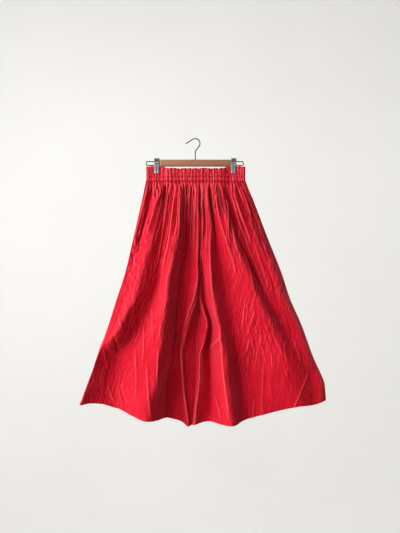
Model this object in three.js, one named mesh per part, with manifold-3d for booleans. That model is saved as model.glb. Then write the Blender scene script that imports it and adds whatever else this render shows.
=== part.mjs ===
// Wide-leg pants hanging from a clip hanger: an elastic waistband, four leg panels, two
// pocket edges, and a wooden bar with a wire hook, two wire loops and two sprung clips.
// Millimetres. X runs to the right as seen from the front, Y runs back, Z runs up.
// The origin is the top of the hook's inside, where the hanger hangs.
// Left and right in the names are as seen from the front.

import * as THREE from 'three';
import { mergeVertices } from 'three/addons/utils/BufferGeometryUtils.js';
import Module from 'manifold-3d';

const wasm = await Module();
wasm.setup();

// ---------------------------------------------------------------- driving sizes

const GAP = 0.3; // left between neighbouring pieces

const CLOTH_WALL = 1.6; // a leg panel
const HEM_WALL = 2.4; // the turned-up hem, two layers pressed together
const BAND_WALL = 2.8; // the casing and the elastic in it
const STITCH_WALL = 2.0; // the casing where a row of stitches pulls it in

const BAND = {
  left: -166, right: 170, // side seams
  top: -95, sag: 9, // top edge at the clips, and how far it drops in the middle
  upperStitch: -131.5, bottom: -147, // the two rows of stitches
  gathers: 33, ripple: 1.3, // gathers in the front or the back, and half their depth
  ease: 6, // how far the front and back stand apart in the middle
};

const POCKET = {
  wall: 1.2, width: 12, // the turned edge of the pocket mouth
  lift: 0.6, // how far it stands off the panel, which is faceted under it
  top: 1.05, bottom: 2.45, // where it starts and ends, in rows of the panel tables
  insetTop: 11, insetBottom: 21, // from the side seam to its middle
};

const BAR = { left: -120, right: 120, top: -72, bottom: -95, depth: 12, bevel: 1.5 };

const HOOK = { radius: 1.6, hole: 2.0, holeBottom: -86, stemBottom: -85 };

const LOOP = {
  radius: 1.5, hole: 1.85, // the wire, and its holes in the bar's ends
  upper: -78.5, lower: -91, // heights of its two legs
  leftEnd: -166.5, rightEnd: 163, inside: 14, // centreline ends, and length inside the bar
};

const CLIP = {
  width: 18, wall: 1.2, left: -130, right: 130.5, // middles of the two clips
  top: -68, bottom: -119, flare: 8.4, // how far the finger tabs stand out from the middle
  springRadius: 4.4, springLength: 16,
};

// ---------------------------------------------------------------- fold tables
//
// A row is one level cut across a panel, from the waistband to the hem. Each named column
// is a line that runs down the cloth, and its pair says how far along and how far back
// that line lies at that level. The last row's hem heights are in the table below it.

const FRONT_LEFT = [
  { z: -147, side: [-168, 0], hollow: [-150, -2], crumple: [-127, -2.5], valley: [-100, -5.5], bulge: [-62, -8],
    dip: [-30, -7], lap: [-16, -7.5], fold: [4, -9], seam: [14.5, -7] },
  { z: -209, side: [-181, 0], hollow: [-154, -5], crumple: [-117, -16], valley: [-100, -9], bulge: [-50, -24],
    dip: [-27, -8], lap: [-14, -9], fold: [9, -20], seam: [14.5, -6] },
  { z: -328, side: [-208, 0], hollow: [-191, -5], crumple: [-142, -30], valley: [-113, -14], bulge: [-65, -42],
    dip: [-28, -8], lap: [-17, -10], fold: [8.5, -24], seam: [14.5, -2] },
  { z: -460, side: [-239, 0], hollow: [-219, -8], crumple: [-180, -36], valley: [-125, -14], bulge: [-84, -52],
    dip: [-48, -6], lap: [-21, -9], fold: [6, -26], seam: [14, 9.6] },
  { z: -540, side: [-265, 0], hollow: [-239, -10], crumple: [-201, -38], valley: [-149, -12], bulge: [-95, -58],
    dip: [-54, -4], lap: [-30, -5], fold: [-3, -24], seam: [11, 11.6] },
  { z: -634, side: [-295, 0], hollow: [-276, -9], crumple: [-246, -36], valley: [-188, -8], bulge: [-111, -62],
    dip: [-66, -3], lap: [-43, -5], fold: [-20, -22], seam: [7.5, 13] },
  { z: -736, side: [-331, 0], hollow: [-318, -7], crumple: [-290, -30], valley: [-246, -4], bulge: [-120, -64],
    dip: [-72, -2], lap: [-52, -4], fold: [-43, -17], seam: [5, 13] },
  { z: -838, side: [-366, 0], hollow: [-356, -6], crumple: [-334, -18], valley: [-287, -2], bulge: [-139, -66],
    dip: [-93, -1], lap: [-49, -4], fold: [-38, -17], seam: [2, 13] },
  { side: [-389, 0], hollow: [-378, -5], crumple: [-358, -10], valley: [-304, 0], bulge: [-156, -67],
    dip: [-93, -1], lap: [-46, -4], fold: [-29, -19], seam: [-15, 8] },
];
const FRONT_LEFT_HEM = {
  side: -902, hollow: -902, crumple: -899, valley: -905, bulge: -947, dip: -948, lap: -963, fold: -977, seam: -975,
};

const FRONT_RIGHT = [
  { z: -147, seam: [14.5, -7], inner: [18, -8], cleft: [22, -8.5], ridge: [36, -9], groove: [52, -7],
    swell: [81, -8.5], shade: [112, -4.5], edge: [140, -3], side: [171, 0] },
  { z: -209, seam: [14.5, -6], inner: [17, -11], cleft: [21, -16], ridge: [38, -20], groove: [55, -9],
    swell: [86, -22], shade: [125, -8], edge: [165, -12], side: [197, 0] },
  { z: -328, seam: [14.5, -2], inner: [17, -12], cleft: [22, -20], ridge: [52, -28], groove: [84, -10],
    swell: [127, -36], shade: [162, -14], edge: [215, -20], side: [242, 0] },
  { z: -460, seam: [14, 9.6], inner: [18, 0], cleft: [24, -6], ridge: [53, -36], groove: [111, -8],
    swell: [186, -46], shade: [204, -20], edge: [268, -24], side: [294, 0] },
  { z: -540, seam: [11, 11.6], inner: [19.5, 2], cleft: [31, 4], ridge: [61, -40], groove: [122, -6],
    swell: [217, -48], shade: [244, -20], edge: [298, -24], side: [320, 0] },
  { z: -634, seam: [7.5, 13], inner: [38, -10], cleft: [50, 3], ridge: [78, -44], groove: [137, -4],
    swell: [269, -46], shade: [294, -18], edge: [340, -20], side: [361, 0] },
  { z: -736, seam: [5, 13], inner: [25.5, -12], cleft: [43, 1], ridge: [95, -50], groove: [157, -2],
    swell: [320, -42], shade: [348, -14], edge: [380, -16], side: [398, 0] },
  { z: -838, seam: [2, 13], inner: [16, -10], cleft: [50, -1], ridge: [107, -58], groove: [179, 0],
    swell: [370, -34], shade: [400, -10], edge: [424, -12], side: [440, 0] },
  { seam: [-11, 8], inner: [-5, -8], cleft: [50, -3], ridge: [115, -62], groove: [200, 1],
    swell: [380, -28], shade: [404, -8], edge: [426, -8], side: [444, 0] },
];
const FRONT_RIGHT_HEM = {
  seam: -973, inner: -972, cleft: -964, ridge: -965, groove: -950, swell: -905, shade: -902, edge: -896, side: -889,
};

const BACK_LEFT = [
  { z: -147, side: [-168, 0], roll: [-130, 3], gully: [-105, 5], swell: [-80, 7.5], furrow: [-50, 7],
    seat: [-20, 8], seam: [14.5, 7.5] },
  { z: -209, side: [-181, 0], roll: [-150, 9], gully: [-122, 8], swell: [-88, 17], furrow: [-50, 11],
    seat: [-18, 18], seam: [14.5, 9] },
  { z: -328, side: [-208, 0], roll: [-175, 14], gully: [-140, 10], swell: [-100, 26], furrow: [-58, 14],
    seat: [-20, 28], seam: [14.5, 20] },
  { z: -460, side: [-239, 0], roll: [-200, 16], gully: [-160, 11], swell: [-112, 30], furrow: [-66, 15],
    seat: [-26, 30], seam: [14, 10.4] },
  { z: -540, side: [-265, 0], roll: [-222, 17], gully: [-178, 12], swell: [-124, 32], furrow: [-74, 16],
    seat: [-32, 30], seam: [11, 12.4] },
  { z: -634, side: [-295, 0], roll: [-246, 18], gully: [-198, 12], swell: [-140, 34], furrow: [-84, 17],
    seat: [-40, 30], seam: [7.5, 13] },
  { z: -736, side: [-331, 0], roll: [-274, 19], gully: [-220, 12], swell: [-160, 36], furrow: [-98, 17],
    seat: [-50, 28], seam: [5, 13] },
  { z: -838, side: [-366, 0], roll: [-305, 20], gully: [-246, 12], swell: [-182, 38], furrow: [-114, 17],
    seat: [-62, 27], seam: [2, 13] },
  { side: [-389, 0], roll: [-330, 20], gully: [-268, 12], swell: [-200, 40], furrow: [-128, 17],
    seat: [-70, 26], seam: [-15, 8] },
];
const BACK_LEFT_HEM = {
  side: -902, roll: -905, gully: -920, swell: -935, furrow: -946, seat: -960, seam: -975,
};

const BACK_RIGHT = [
  { z: -147, seam: [14.5, 7.5], seat: [48, 8.5], furrow: [76, 7], swell: [104, 6.5], gully: [128, 3.5],
    roll: [148, 3], side: [171, 0] },
  { z: -209, seam: [14.5, 9], seat: [46, 16], furrow: [84, 11], swell: [120, 18], gully: [150, 8],
    roll: [174, 9], side: [197, 0] },
  { z: -328, seam: [14.5, 20], seat: [50, 26], furrow: [96, 13], swell: [142, 28], gully: [182, 10],
    roll: [214, 14], side: [242, 0] },
  { z: -460, seam: [14, 10.4], seat: [58, 30], furrow: [110, 14], swell: [166, 31], gully: [214, 11],
    roll: [258, 17], side: [294, 0] },
  { z: -540, seam: [11, 12.4], seat: [62, 30], furrow: [120, 15], swell: [180, 33], gully: [234, 12],
    roll: [284, 18], side: [320, 0] },
  { z: -634, seam: [7.5, 13], seat: [68, 30], furrow: [132, 16], swell: [200, 35], gully: [262, 12],
    roll: [320, 19], side: [361, 0] },
  { z: -736, seam: [5, 13], seat: [74, 29], furrow: [146, 16], swell: [222, 36], gully: [292, 12],
    roll: [354, 20], side: [398, 0] },
  { z: -838, seam: [2, 13], seat: [82, 28], furrow: [158, 16], swell: [240, 37], gully: [316, 12],
    roll: [388, 20], side: [440, 0] },
  { seam: [-11, 8], seat: [88, 27], furrow: [168, 16], swell: [252, 38], gully: [332, 12],
    roll: [398, 20], side: [444, 0] },
];
const BACK_RIGHT_HEM = {
  seam: -973, seat: -958, furrow: -946, swell: -932, gully: -914, roll: -897, side: -889,
};

// ---------------------------------------------------------------- materials

const cloth = new THREE.MeshStandardMaterial({ color: 0xdc2c3a, roughness: 0.9, metalness: 0, name: 'cloth' });
const wood = new THREE.MeshStandardMaterial({ color: 0xa77e5e, roughness: 0.5, metalness: 0, name: 'wood' });
const steel = new THREE.MeshStandardMaterial({ color: 0xb4b6b8, roughness: 0.25, metalness: 1, name: 'steel' });

// ---------------------------------------------------------------- curves and surfaces

// A smooth curve through evenly stepped values that never swings past any of them.
function ease(values, at) {
  const last = values.length - 1;
  const step = (k) => values[k + 1] - values[k];
  const slope = (k) => {
    if (k === 0) return step(0);
    if (k === last) return step(last - 1);
    const before = step(k - 1);
    const after = step(k);
    return before * after <= 0 ? 0 : (2 * before * after) / (before + after);
  };
  const k = Math.min(Math.floor(at), last - 1);
  const t = at - k;
  const back = 1 - t;
  return back * back * (1 + 2 * t) * values[k] + t * t * (3 - 2 * t) * values[k + 1]
    + t * back * back * slope(k) - t * t * back * slope(k + 1);
}

// The middle surface of a leg panel. across counts columns and down counts rows of its table.
function panelSurface(table, hem, { towards, sideways, wall }) {
  const names = Object.keys(hem);
  const last = table.length - 1;
  const place = (row, name) => [...table[row][name], row === last ? hem[name] : table[row].z];
  const along = (name, down, axis) => ease(table.map((_, row) => place(row, name)[axis]), down);
  const surface = (across, down) => {
    const [x, y, z] = [0, 1, 2].map((axis) => ease(names.map((name) => along(name, down, axis)), across));
    const clear = (wall(down) + GAP) / 2; // a front and a back panel lie face to face at the side seam
    return new THREE.Vector3(x + (sideways * GAP) / 2, y + towards * clear, z);
  };
  surface.columns = names.length - 1;
  surface.rows = last;
  return surface;
}

// The outward direction of a surface, towards the wearer's front (-1) or back (+1).
function normalAt(surface, across, down, towards) {
  const reach = 0.02;
  const a = Math.max(across - reach, 0);
  const b = Math.min(across + reach, surface.columns);
  const c = Math.max(down - reach, 0);
  const d = Math.min(down + reach, surface.rows);
  const alongX = surface(b, down).sub(surface(a, down));
  const alongZ = surface(across, d).sub(surface(across, c));
  return alongX.cross(alongZ).normalize().multiplyScalar(towards);
}

// A closed wall around a grid of middle points: grid[j][i] = { point, normal, wall }.
function wallGeometry(grid) {
  const rows = grid.length;
  const columns = grid[0].length;
  const positions = [];
  for (const side of [0.5, -0.5]) {
    for (const row of grid) {
      for (const { point, normal, wall } of row) {
        positions.push(...point.clone().addScaledVector(normal, side * wall).toArray());
      }
    }
  }
  const at = (layer, j, i) => (layer * rows + j) * columns + i;
  const index = [];
  const quad = (a, b, c, d) => index.push(a, b, c, a, c, d);
  for (let j = 0; j < rows - 1; j += 1) {
    for (let i = 0; i < columns - 1; i += 1) {
      quad(at(0, j, i), at(0, j, i + 1), at(0, j + 1, i + 1), at(0, j + 1, i));
      quad(at(1, j, i), at(1, j + 1, i), at(1, j + 1, i + 1), at(1, j, i + 1));
    }
  }
  for (let i = 0; i < columns - 1; i += 1) {
    quad(at(0, 0, i + 1), at(0, 0, i), at(1, 0, i), at(1, 0, i + 1));
    quad(at(0, rows - 1, i), at(0, rows - 1, i + 1), at(1, rows - 1, i + 1), at(1, rows - 1, i));
  }
  for (let j = 0; j < rows - 1; j += 1) {
    quad(at(0, j, 0), at(0, j + 1, 0), at(1, j + 1, 0), at(1, j, 0));
    quad(at(0, j + 1, columns - 1), at(0, j, columns - 1), at(1, j, columns - 1), at(1, j + 1, columns - 1));
  }
  const geometry = new THREE.BufferGeometry();
  geometry.setAttribute('position', new THREE.Float32BufferAttribute(positions, 3));
  geometry.setIndex(index);
  geometry.computeVertexNormals();
  return geometry;
}

// Even steps from one value to another, both ends included.
const steps = (from, to, count) => Array.from({ length: count + 1 }, (_, k) => from + ((to - from) * k) / count);

// ---------------------------------------------------------------- leg panels

const HEM_START = 7.85; // where the turned-up hem begins, in rows of the tables
const PER_COLUMN = 4; // steps between two named lines
const PER_ROW = 2; // steps between two levels

const panelWall = (down) => (down > HEM_START ? HEM_WALL : CLOTH_WALL);

const PANELS = {
  front_left: { table: FRONT_LEFT, hem: FRONT_LEFT_HEM, towards: -1, sideways: -1 },
  front_right: { table: FRONT_RIGHT, hem: FRONT_RIGHT_HEM, towards: -1, sideways: 1 },
  back_left: { table: BACK_LEFT, hem: BACK_LEFT_HEM, towards: 1, sideways: -1 },
  back_right: { table: BACK_RIGHT, hem: BACK_RIGHT_HEM, towards: 1, sideways: 1 },
};

function legPanel({ table, hem, towards, sideways }) {
  const surface = panelSurface(table, hem, { towards, sideways, wall: panelWall });
  const aboveHem = steps(0, surface.rows - 1, (surface.rows - 1) * PER_ROW);
  const levels = [...aboveHem, surface.rows - 0.5, HEM_START, HEM_START + 0.02, surface.rows];
  const stations = steps(0, surface.columns, surface.columns * PER_COLUMN);
  const edges = [0, surface.columns]; // cut square, so that neighbours meet edge to edge
  const grid = levels.map((down) => stations.map((across) => ({
    point: surface(across, down).setZ(surface(across, down).z - (down === 0 ? GAP : 0)),
    normal: edges.includes(across) ? new THREE.Vector3(0, 1, 0) : normalAt(surface, across, down, 1),
    wall: panelWall(down),
  })));
  return wallGeometry(grid);
}

// ---------------------------------------------------------------- pocket edges

// The turned edge of a side pocket's mouth. It lies on the front panel's own surface.
function pocketEdge({ table, hem, towards, sideways }, sideColumn) {
  const surface = panelSurface(table, hem, { towards, sideways, wall: panelWall });
  const inwards = sideColumn === 0 ? 1 : -1;
  const acrossAt = (down, inset) => {
    const start = surface(sideColumn, down).x;
    let near = 0;
    let far = 3;
    while (far - near > 1e-4) {
      const middle = (near + far) / 2;
      const reached = Math.abs(surface(sideColumn + inwards * middle, down).x - start);
      if (reached < inset) near = middle;
      else far = middle;
    }
    return sideColumn + inwards * near;
  };
  const lift = CLOTH_WALL / 2 + POCKET.lift + POCKET.wall / 2;
  const grid = steps(0, 1, 10).map((share) => {
    const down = POCKET.top + (POCKET.bottom - POCKET.top) * share;
    const inset = POCKET.insetTop + (POCKET.insetBottom - POCKET.insetTop) * share;
    return steps(-1, 1, 2).map((offset) => {
      const across = acrossAt(down, inset + (inwards * offset * POCKET.width) / 2);
      const outward = normalAt(surface, across, down, towards);
      const point = surface(across, down).addScaledVector(outward, lift);
      return { point, normal: normalAt(surface, across, down, 1), wall: POCKET.wall };
    });
  });
  return wallGeometry(grid);
}

// ---------------------------------------------------------------- waistband

// 1 between the clips and 0 at a clip and beyond, rising smoothly.
function awayFromClips(x) {
  const reach = 38;
  const inside = Math.min(x - CLIP.left, CLIP.right - x) - CLIP.width / 2;
  return THREE.MathUtils.smoothstep(inside, 0, reach);
}

// 0 where a clip pinches the band flat, and 1 clear of it.
function loose(x) {
  const nearest = Math.min(Math.abs(x - CLIP.left), Math.abs(x - CLIP.right));
  return THREE.MathUtils.smoothstep(nearest, CLIP.width / 2 + 1, CLIP.width / 2 + 7);
}

function waistband(towards) {
  const perGather = 3;
  const width = BAND.right - BAND.left;
  const stations = steps(0, 1, BAND.gathers * perGather);
  const depthAt = (x, share) => {
    const wander = 0.55 * Math.sin(9.3 * share * Math.PI + towards) + 0.4 * Math.sin(23.7 * share);
    const height = 0.75 + 0.25 * Math.sin(17.1 * share + 2 * towards);
    const ripple = BAND.ripple * height * Math.sin(2 * Math.PI * BAND.gathers * share + wander);
    const ends = THREE.MathUtils.smoothstep(Math.min(share, 1 - share) * width, 0, 8);
    return ripple * loose(x) * ends;
  };
  const levelsAt = (top) => [
    { z: top, wall: BAND_WALL },
    { z: (top + BAND.upperStitch) / 2, wall: BAND_WALL },
    { z: BAND.upperStitch, wall: STITCH_WALL },
    { z: (BAND.upperStitch + BAND.bottom) / 2, wall: BAND_WALL },
    { z: BAND.bottom, wall: STITCH_WALL },
  ];
  const seat = BAND_WALL / 2 + GAP / 2;
  const columns = stations.map((share) => {
    const x = BAND.left + width * share;
    const away = awayFromClips(x);
    const y = towards * (seat + BAND.ease * away + BAND.ripple * loose(x)) + depthAt(x, share);
    return levelsAt(BAND.top - BAND.sag * away).map(({ z, wall }) => (
      { point: new THREE.Vector3(x, y, z), normal: new THREE.Vector3(0, 1, 0), wall }
    ));
  });
  return wallGeometry(columns[0].map((_, level) => columns.map((column) => column[level])));
}

// ---------------------------------------------------------------- hanger

// A closed mesh as a solid that can be cut.
function toSolid(geometry) {
  const plain = geometry.clone();
  plain.deleteAttribute('normal');
  plain.deleteAttribute('uv');
  const merged = mergeVertices(plain, 1e-4);
  return new wasm.Manifold(new wasm.Mesh({
    numProp: 3,
    vertProperties: new Float32Array(merged.attributes.position.array),
    triVerts: new Uint32Array(merged.index.array),
  }));
}

function toGeometry(solid) {
  const { vertProperties, triVerts } = solid.getMesh();
  const geometry = new THREE.BufferGeometry();
  geometry.setAttribute('position', new THREE.BufferAttribute(vertProperties, 3));
  geometry.setIndex(new THREE.BufferAttribute(triVerts, 1));
  geometry.computeVertexNormals();
  return geometry;
}

// A round wire of the given radius along a list of centreline points, with 2 * halfSides sides.
function wire(points, radius, halfSides, count) {
  const circle = new THREE.Shape().absarc(0, 0, radius, 0, 2 * Math.PI, false);
  const path = new THREE.CatmullRomCurve3(points.map((p) => new THREE.Vector3(...p)), false, 'centripetal');
  return new THREE.ExtrudeGeometry(circle, { steps: count, extrudePath: path, curveSegments: halfSides });
}

function rod(radius, length, sides) {
  return new THREE.CylinderGeometry(radius, radius, length, sides);
}

// The wooden bar: a rounded slat, drilled for the hook's stem and for the loops' ends.
function hangerBar() {
  const height = BAR.top - BAR.bottom;
  const corner = 4;
  const halfWidth = BAR.depth / 2 - BAR.bevel;
  const halfHeight = height / 2 - BAR.bevel;
  const outline = new THREE.Shape();
  outline.moveTo(-halfWidth + corner, -halfHeight);
  outline.lineTo(halfWidth - corner, -halfHeight);
  outline.absarc(halfWidth - corner, -halfHeight + corner, corner, -Math.PI / 2, 0, false);
  outline.absarc(halfWidth - corner, halfHeight - corner, corner, 0, Math.PI / 2, false);
  outline.absarc(-halfWidth + corner, halfHeight - corner, corner, Math.PI / 2, Math.PI, false);
  outline.absarc(-halfWidth + corner, -halfHeight + corner, corner, Math.PI, Math.PI * 1.5, false);
  const slat = new THREE.ExtrudeGeometry(outline, {
    depth: BAR.right - BAR.left - 2 * BAR.bevel,
    bevelThickness: BAR.bevel, bevelSize: BAR.bevel, bevelSegments: 2, curveSegments: 4, steps: 1,
  });
  slat.rotateX(Math.PI / 2);
  slat.rotateZ(Math.PI / 2);
  slat.translate(BAR.left + BAR.bevel, 0, (BAR.top + BAR.bottom) / 2);

  const stemHole = rod(HOOK.hole, 30, 12).rotateX(Math.PI / 2).translate(0, 0, HOOK.holeBottom + 15);
  let bar = toSolid(slat).subtract(toSolid(stemHole));
  for (const end of [BAR.left, BAR.right]) {
    for (const z of [LOOP.upper, LOOP.lower]) {
      const hole = rod(LOOP.hole, 2 * (LOOP.inside + 1), 12).rotateZ(Math.PI / 2).translate(end, 0, z);
      bar = bar.subtract(toSolid(hole));
    }
  }
  return toGeometry(bar);
}

// The hook: a stem from the bar, a bend to the right, the rounded top and a straight tip.
function hangerHook() {
  const inside = HOOK.radius; // the wire's middle runs this far above the hanging point
  return wire([
    [0, 0, HOOK.stemBottom], [0, 0, -62], [0, 0, -47], [6, 0, -37], [14, 0, -27], [17.5, 0, -15.5],
    [14, 0, -5], [6, 0, inside - 1], [-2, 0, inside], [-10, 0, inside - 1.4], [-21, 0, -7], [-33, 0, -14.5],
  ], HOOK.radius, 5, 34);
}

// A wire loop: out of the bar's end, round a half turn and back in.
function hangerLoop(end, barEnd) {
  const outwards = Math.sign(end);
  const turn = (LOOP.upper - LOOP.lower) / 2;
  const middle = (LOOP.upper + LOOP.lower) / 2;
  const centre = end - outwards * turn;
  const arc = steps(90, -90, 6).map((degrees) => {
    const angle = THREE.MathUtils.degToRad(degrees);
    return [centre + outwards * turn * Math.cos(angle), 0, middle + turn * Math.sin(angle)];
  });
  const root = barEnd - outwards * LOOP.inside;
  const half = (root + centre) / 2;
  return wire(
    [[root, 0, LOOP.upper], [half, 0, LOOP.upper], ...arc, [half, 0, LOOP.lower], [root, 0, LOOP.lower]],
    LOOP.radius, 4, 24,
  );
}

// One jaw plate of a clip, bent from strip: a finger tab, the hump over the spring and the jaw.
function clipPlate(middle, towards) {
  const seat = BAND_WALL + GAP / 2 + GAP; // the jaw's inner face, just clear of the waistband
  const hump = CLIP.springRadius + 0.4;
  const inner = [
    [CLIP.flare, CLIP.top], [hump, -79.5], [hump, -90], [seat, -97], [seat, CLIP.bottom + 1.5],
    [seat + 1, CLIP.bottom],
  ];
  const outer = inner.map(([y, z]) => [y + CLIP.wall, z]).reverse();
  const outline = new THREE.Shape([...inner, ...outer].map(([y, z]) => new THREE.Vector2(towards * y, z)));
  const plate = new THREE.ExtrudeGeometry(outline, { depth: CLIP.width, bevelEnabled: false });
  plate.rotateX(Math.PI / 2);
  plate.rotateZ(Math.PI / 2);
  return plate.translate(middle - CLIP.width / 2, 0, 0);
}

// The spring barrel between the plates. It sits between the two legs of the wire loop.
function clipSpring(middle) {
  return rod(CLIP.springRadius, CLIP.springLength, 16).rotateZ(Math.PI / 2)
    .translate(middle, 0, (LOOP.upper + LOOP.lower) / 2);
}

// ---------------------------------------------------------------- the part

const part = new THREE.Group();
part.name = 'pants_on_hanger';

function add(name, geometry, material) {
  const mesh = new THREE.Mesh(geometry, material);
  mesh.name = name;
  part.add(mesh);
}

for (const [name, panel] of Object.entries(PANELS)) add(name, legPanel(panel), cloth);
add('waistband_front', waistband(-1), cloth);
add('waistband_back', waistband(1), cloth);
add('pocket_edge_left', pocketEdge(PANELS.front_left, 0), cloth);
add('pocket_edge_right', pocketEdge(PANELS.front_right, Object.keys(FRONT_RIGHT_HEM).length - 1), cloth);

add('hanger_bar', hangerBar(), wood);
add('hanger_hook', hangerHook(), steel);
add('hanger_loop_left', hangerLoop(LOOP.leftEnd, BAR.left), steel);
add('hanger_loop_right', hangerLoop(LOOP.rightEnd, BAR.right), steel);
for (const [side, middle] of Object.entries({ left: CLIP.left, right: CLIP.right })) {
  add(`clip_${side}_front`, clipPlate(middle, -1), steel);
  add(`clip_${side}_back`, clipPlate(middle, 1), steel);
  add(`clip_${side}_spring`, clipSpring(middle), steel);
}

export default part;
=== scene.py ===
import math

import bpy
import numpy as np
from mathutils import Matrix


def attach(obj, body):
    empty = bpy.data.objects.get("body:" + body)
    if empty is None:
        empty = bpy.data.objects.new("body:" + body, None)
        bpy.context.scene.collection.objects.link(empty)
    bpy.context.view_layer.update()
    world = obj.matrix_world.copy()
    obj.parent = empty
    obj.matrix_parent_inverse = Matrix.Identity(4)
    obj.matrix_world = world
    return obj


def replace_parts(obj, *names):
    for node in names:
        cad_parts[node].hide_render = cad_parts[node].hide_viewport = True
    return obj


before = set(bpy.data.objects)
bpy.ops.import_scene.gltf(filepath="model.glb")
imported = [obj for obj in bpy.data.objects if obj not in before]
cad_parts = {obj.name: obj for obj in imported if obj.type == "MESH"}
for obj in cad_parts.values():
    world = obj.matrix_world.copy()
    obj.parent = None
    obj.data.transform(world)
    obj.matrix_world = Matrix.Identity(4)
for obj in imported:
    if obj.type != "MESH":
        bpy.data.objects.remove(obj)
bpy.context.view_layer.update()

bpy.ops.object.select_all(action="DESELECT")

# Wide-leg pants on a clip hanger. Lengths in the cloth's tables are millimetres, as a
# tailor writes them, and are turned into metres where a mesh is made. X runs to the
# right as seen from the front, Y runs back, Z runs up; left and right are as seen.

# ------------------------------------------------------------------ camera, floor and light
# The pants hang clear of a pale studio sweep. The camera stands straight in front of
# them, level with their middle, and a broad soft light comes from the front left.

CAMERA_PLACE = (0.016, -2.2, -0.435)
SENSOR_WIDTH, LENS = 36, 43.7
FLOOR_HEIGHT = -4.6
SWEEP_BACK = 3.6
SWEEP_HEIGHT = 8.3
SWEEP_CURVE = 1.4
PAPER_TONES = ((0.63, 0.63, 0.62, 1), (0.67, 0.67, 0.66, 1))
DAYLIGHT = (1.0, 0.99, 0.975, 1)
DAYLIGHT_LEFT, DAYLIGHT_RIGHT = 0.33, 0.11


def add_object(name, data):
    """A new object made of this data, linked to the scene."""
    new = bpy.data.objects.new(name, data)
    bpy.context.scene.collection.objects.link(new)
    return new


def edit(action="SELECT"):
    """Into edit mode, with everything selected, or nothing for DESELECT."""
    bpy.ops.object.mode_set(mode="EDIT")
    bpy.ops.mesh.select_all(action=action)


def select_where(piece, chosen, kind="VERT"):
    """Into edit mode, with only the points or edges selected whose points chosen(co) picks."""
    edit("DESELECT")
    bpy.ops.mesh.select_mode(type=kind)
    bpy.ops.object.mode_set(mode="OBJECT")
    if kind == "VERT":
        for vertex in piece.data.vertices:
            vertex.select = chosen(vertex.co)
    else:
        for edge in piece.data.edges:
            edge.select = all(chosen(piece.data.vertices[end].co) for end in edge.vertices)
    bpy.ops.object.mode_set(mode="EDIT")


def extrude(*way):
    """Draw out what is selected by a length to the right, back and up."""
    bpy.ops.mesh.extrude_region_move(TRANSFORM_OT_translate={"value": way})


camera = add_object("camera", bpy.data.cameras.new("camera"))
camera.location = CAMERA_PLACE
camera.rotation_euler = (math.radians(90), 0, 0)
camera.data.sensor_width = SENSOR_WIDTH
camera.data.lens = LENS
bpy.context.scene.camera = camera
bpy.context.scene.view_settings.view_transform = "Standard"
bpy.context.scene.view_settings.look = "High Contrast"

bpy.ops.mesh.primitive_plane_add(size=2 * SWEEP_BACK, location=(0, 0, FLOOR_HEIGHT))
sweep = bpy.context.object
sweep.name = "studio_sweep"
select_where(sweep, lambda co: co.y > 0, "EDGE")
extrude(0, 0, SWEEP_HEIGHT)
select_where(sweep, lambda co: co.y > 0 and co.z < 1, "EDGE")
bpy.ops.mesh.bevel(offset=SWEEP_CURVE, segments=16, profile=0.5)
bpy.ops.object.mode_set(mode="OBJECT")
bpy.ops.object.transform_apply(location=True)
bpy.ops.object.shade_smooth()


def new_material(name):
    """An empty node material: the material, its tree and its principled shader."""
    material = bpy.data.materials.new(name)
    material.use_nodes = True
    tree = material.node_tree
    return material, tree, tree.nodes["Principled BSDF"]


def feed(tree, node, **inputs):
    """Give a node its inputs, each a value or another node's output; n0 is its first input."""
    for label, value in inputs.items():
        key = int(label[1:]) if label.startswith("n") else label.replace("_", " ")
        if isinstance(value, bpy.types.NodeSocket):
            tree.links.new(value, node.inputs[key])
        else:
            node.inputs[key].default_value = value
    return node


def add_node(tree, kind, settings=(), **inputs):
    """A new shader node with its settings and its inputs."""
    new = tree.nodes.new("ShaderNode" + kind)
    for setting, value in dict(settings).items():
        setattr(new, setting, value)
    return feed(tree, new, **inputs)


def noise(tree, place, **inputs):
    """Smooth uneven noise between 0 and 1."""
    return add_node(tree, "TexNoise", Vector=place, **inputs).outputs["Fac"]


def blend(tree, share, dark, light):
    """A colour between dark and light, by a share between 0 and 1."""
    ramp = add_node(tree, "ValToRGB", n0=share)
    ramp.color_ramp.elements[0].color = dark
    ramp.color_ramp.elements[1].color = light
    return ramp.outputs["Color"]


def ranged(tree, value, **limits):
    """A value brought from one range into another, 0 to 1 where no limit is given."""
    return add_node(tree, "MapRange", Value=value, **limits).outputs[0]


paper, tree, shader = new_material("pale sweep")
place = add_node(tree, "TexCoord").outputs["Object"]
tone = blend(tree, noise(tree, place, Scale=1.3, Detail=3.0), *PAPER_TONES)
feed(tree, shader, Base_Color=tone, Roughness=0.9)
sweep.data.materials.append(paper)

world = bpy.data.worlds.new("studio")
world.use_nodes = True
tree = world.node_tree
around = add_node(tree, "TexCoord").outputs["Generated"]
sideways = add_node(tree, "SeparateXYZ", Vector=around).outputs["X"]
brightness = ranged(tree, sideways, From_Min=-1.0, To_Min=DAYLIGHT_LEFT, To_Max=DAYLIGHT_RIGHT)
feed(tree, tree.nodes["Background"], Strength=brightness, Color=DAYLIGHT)
bpy.context.scene.world = world

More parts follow.
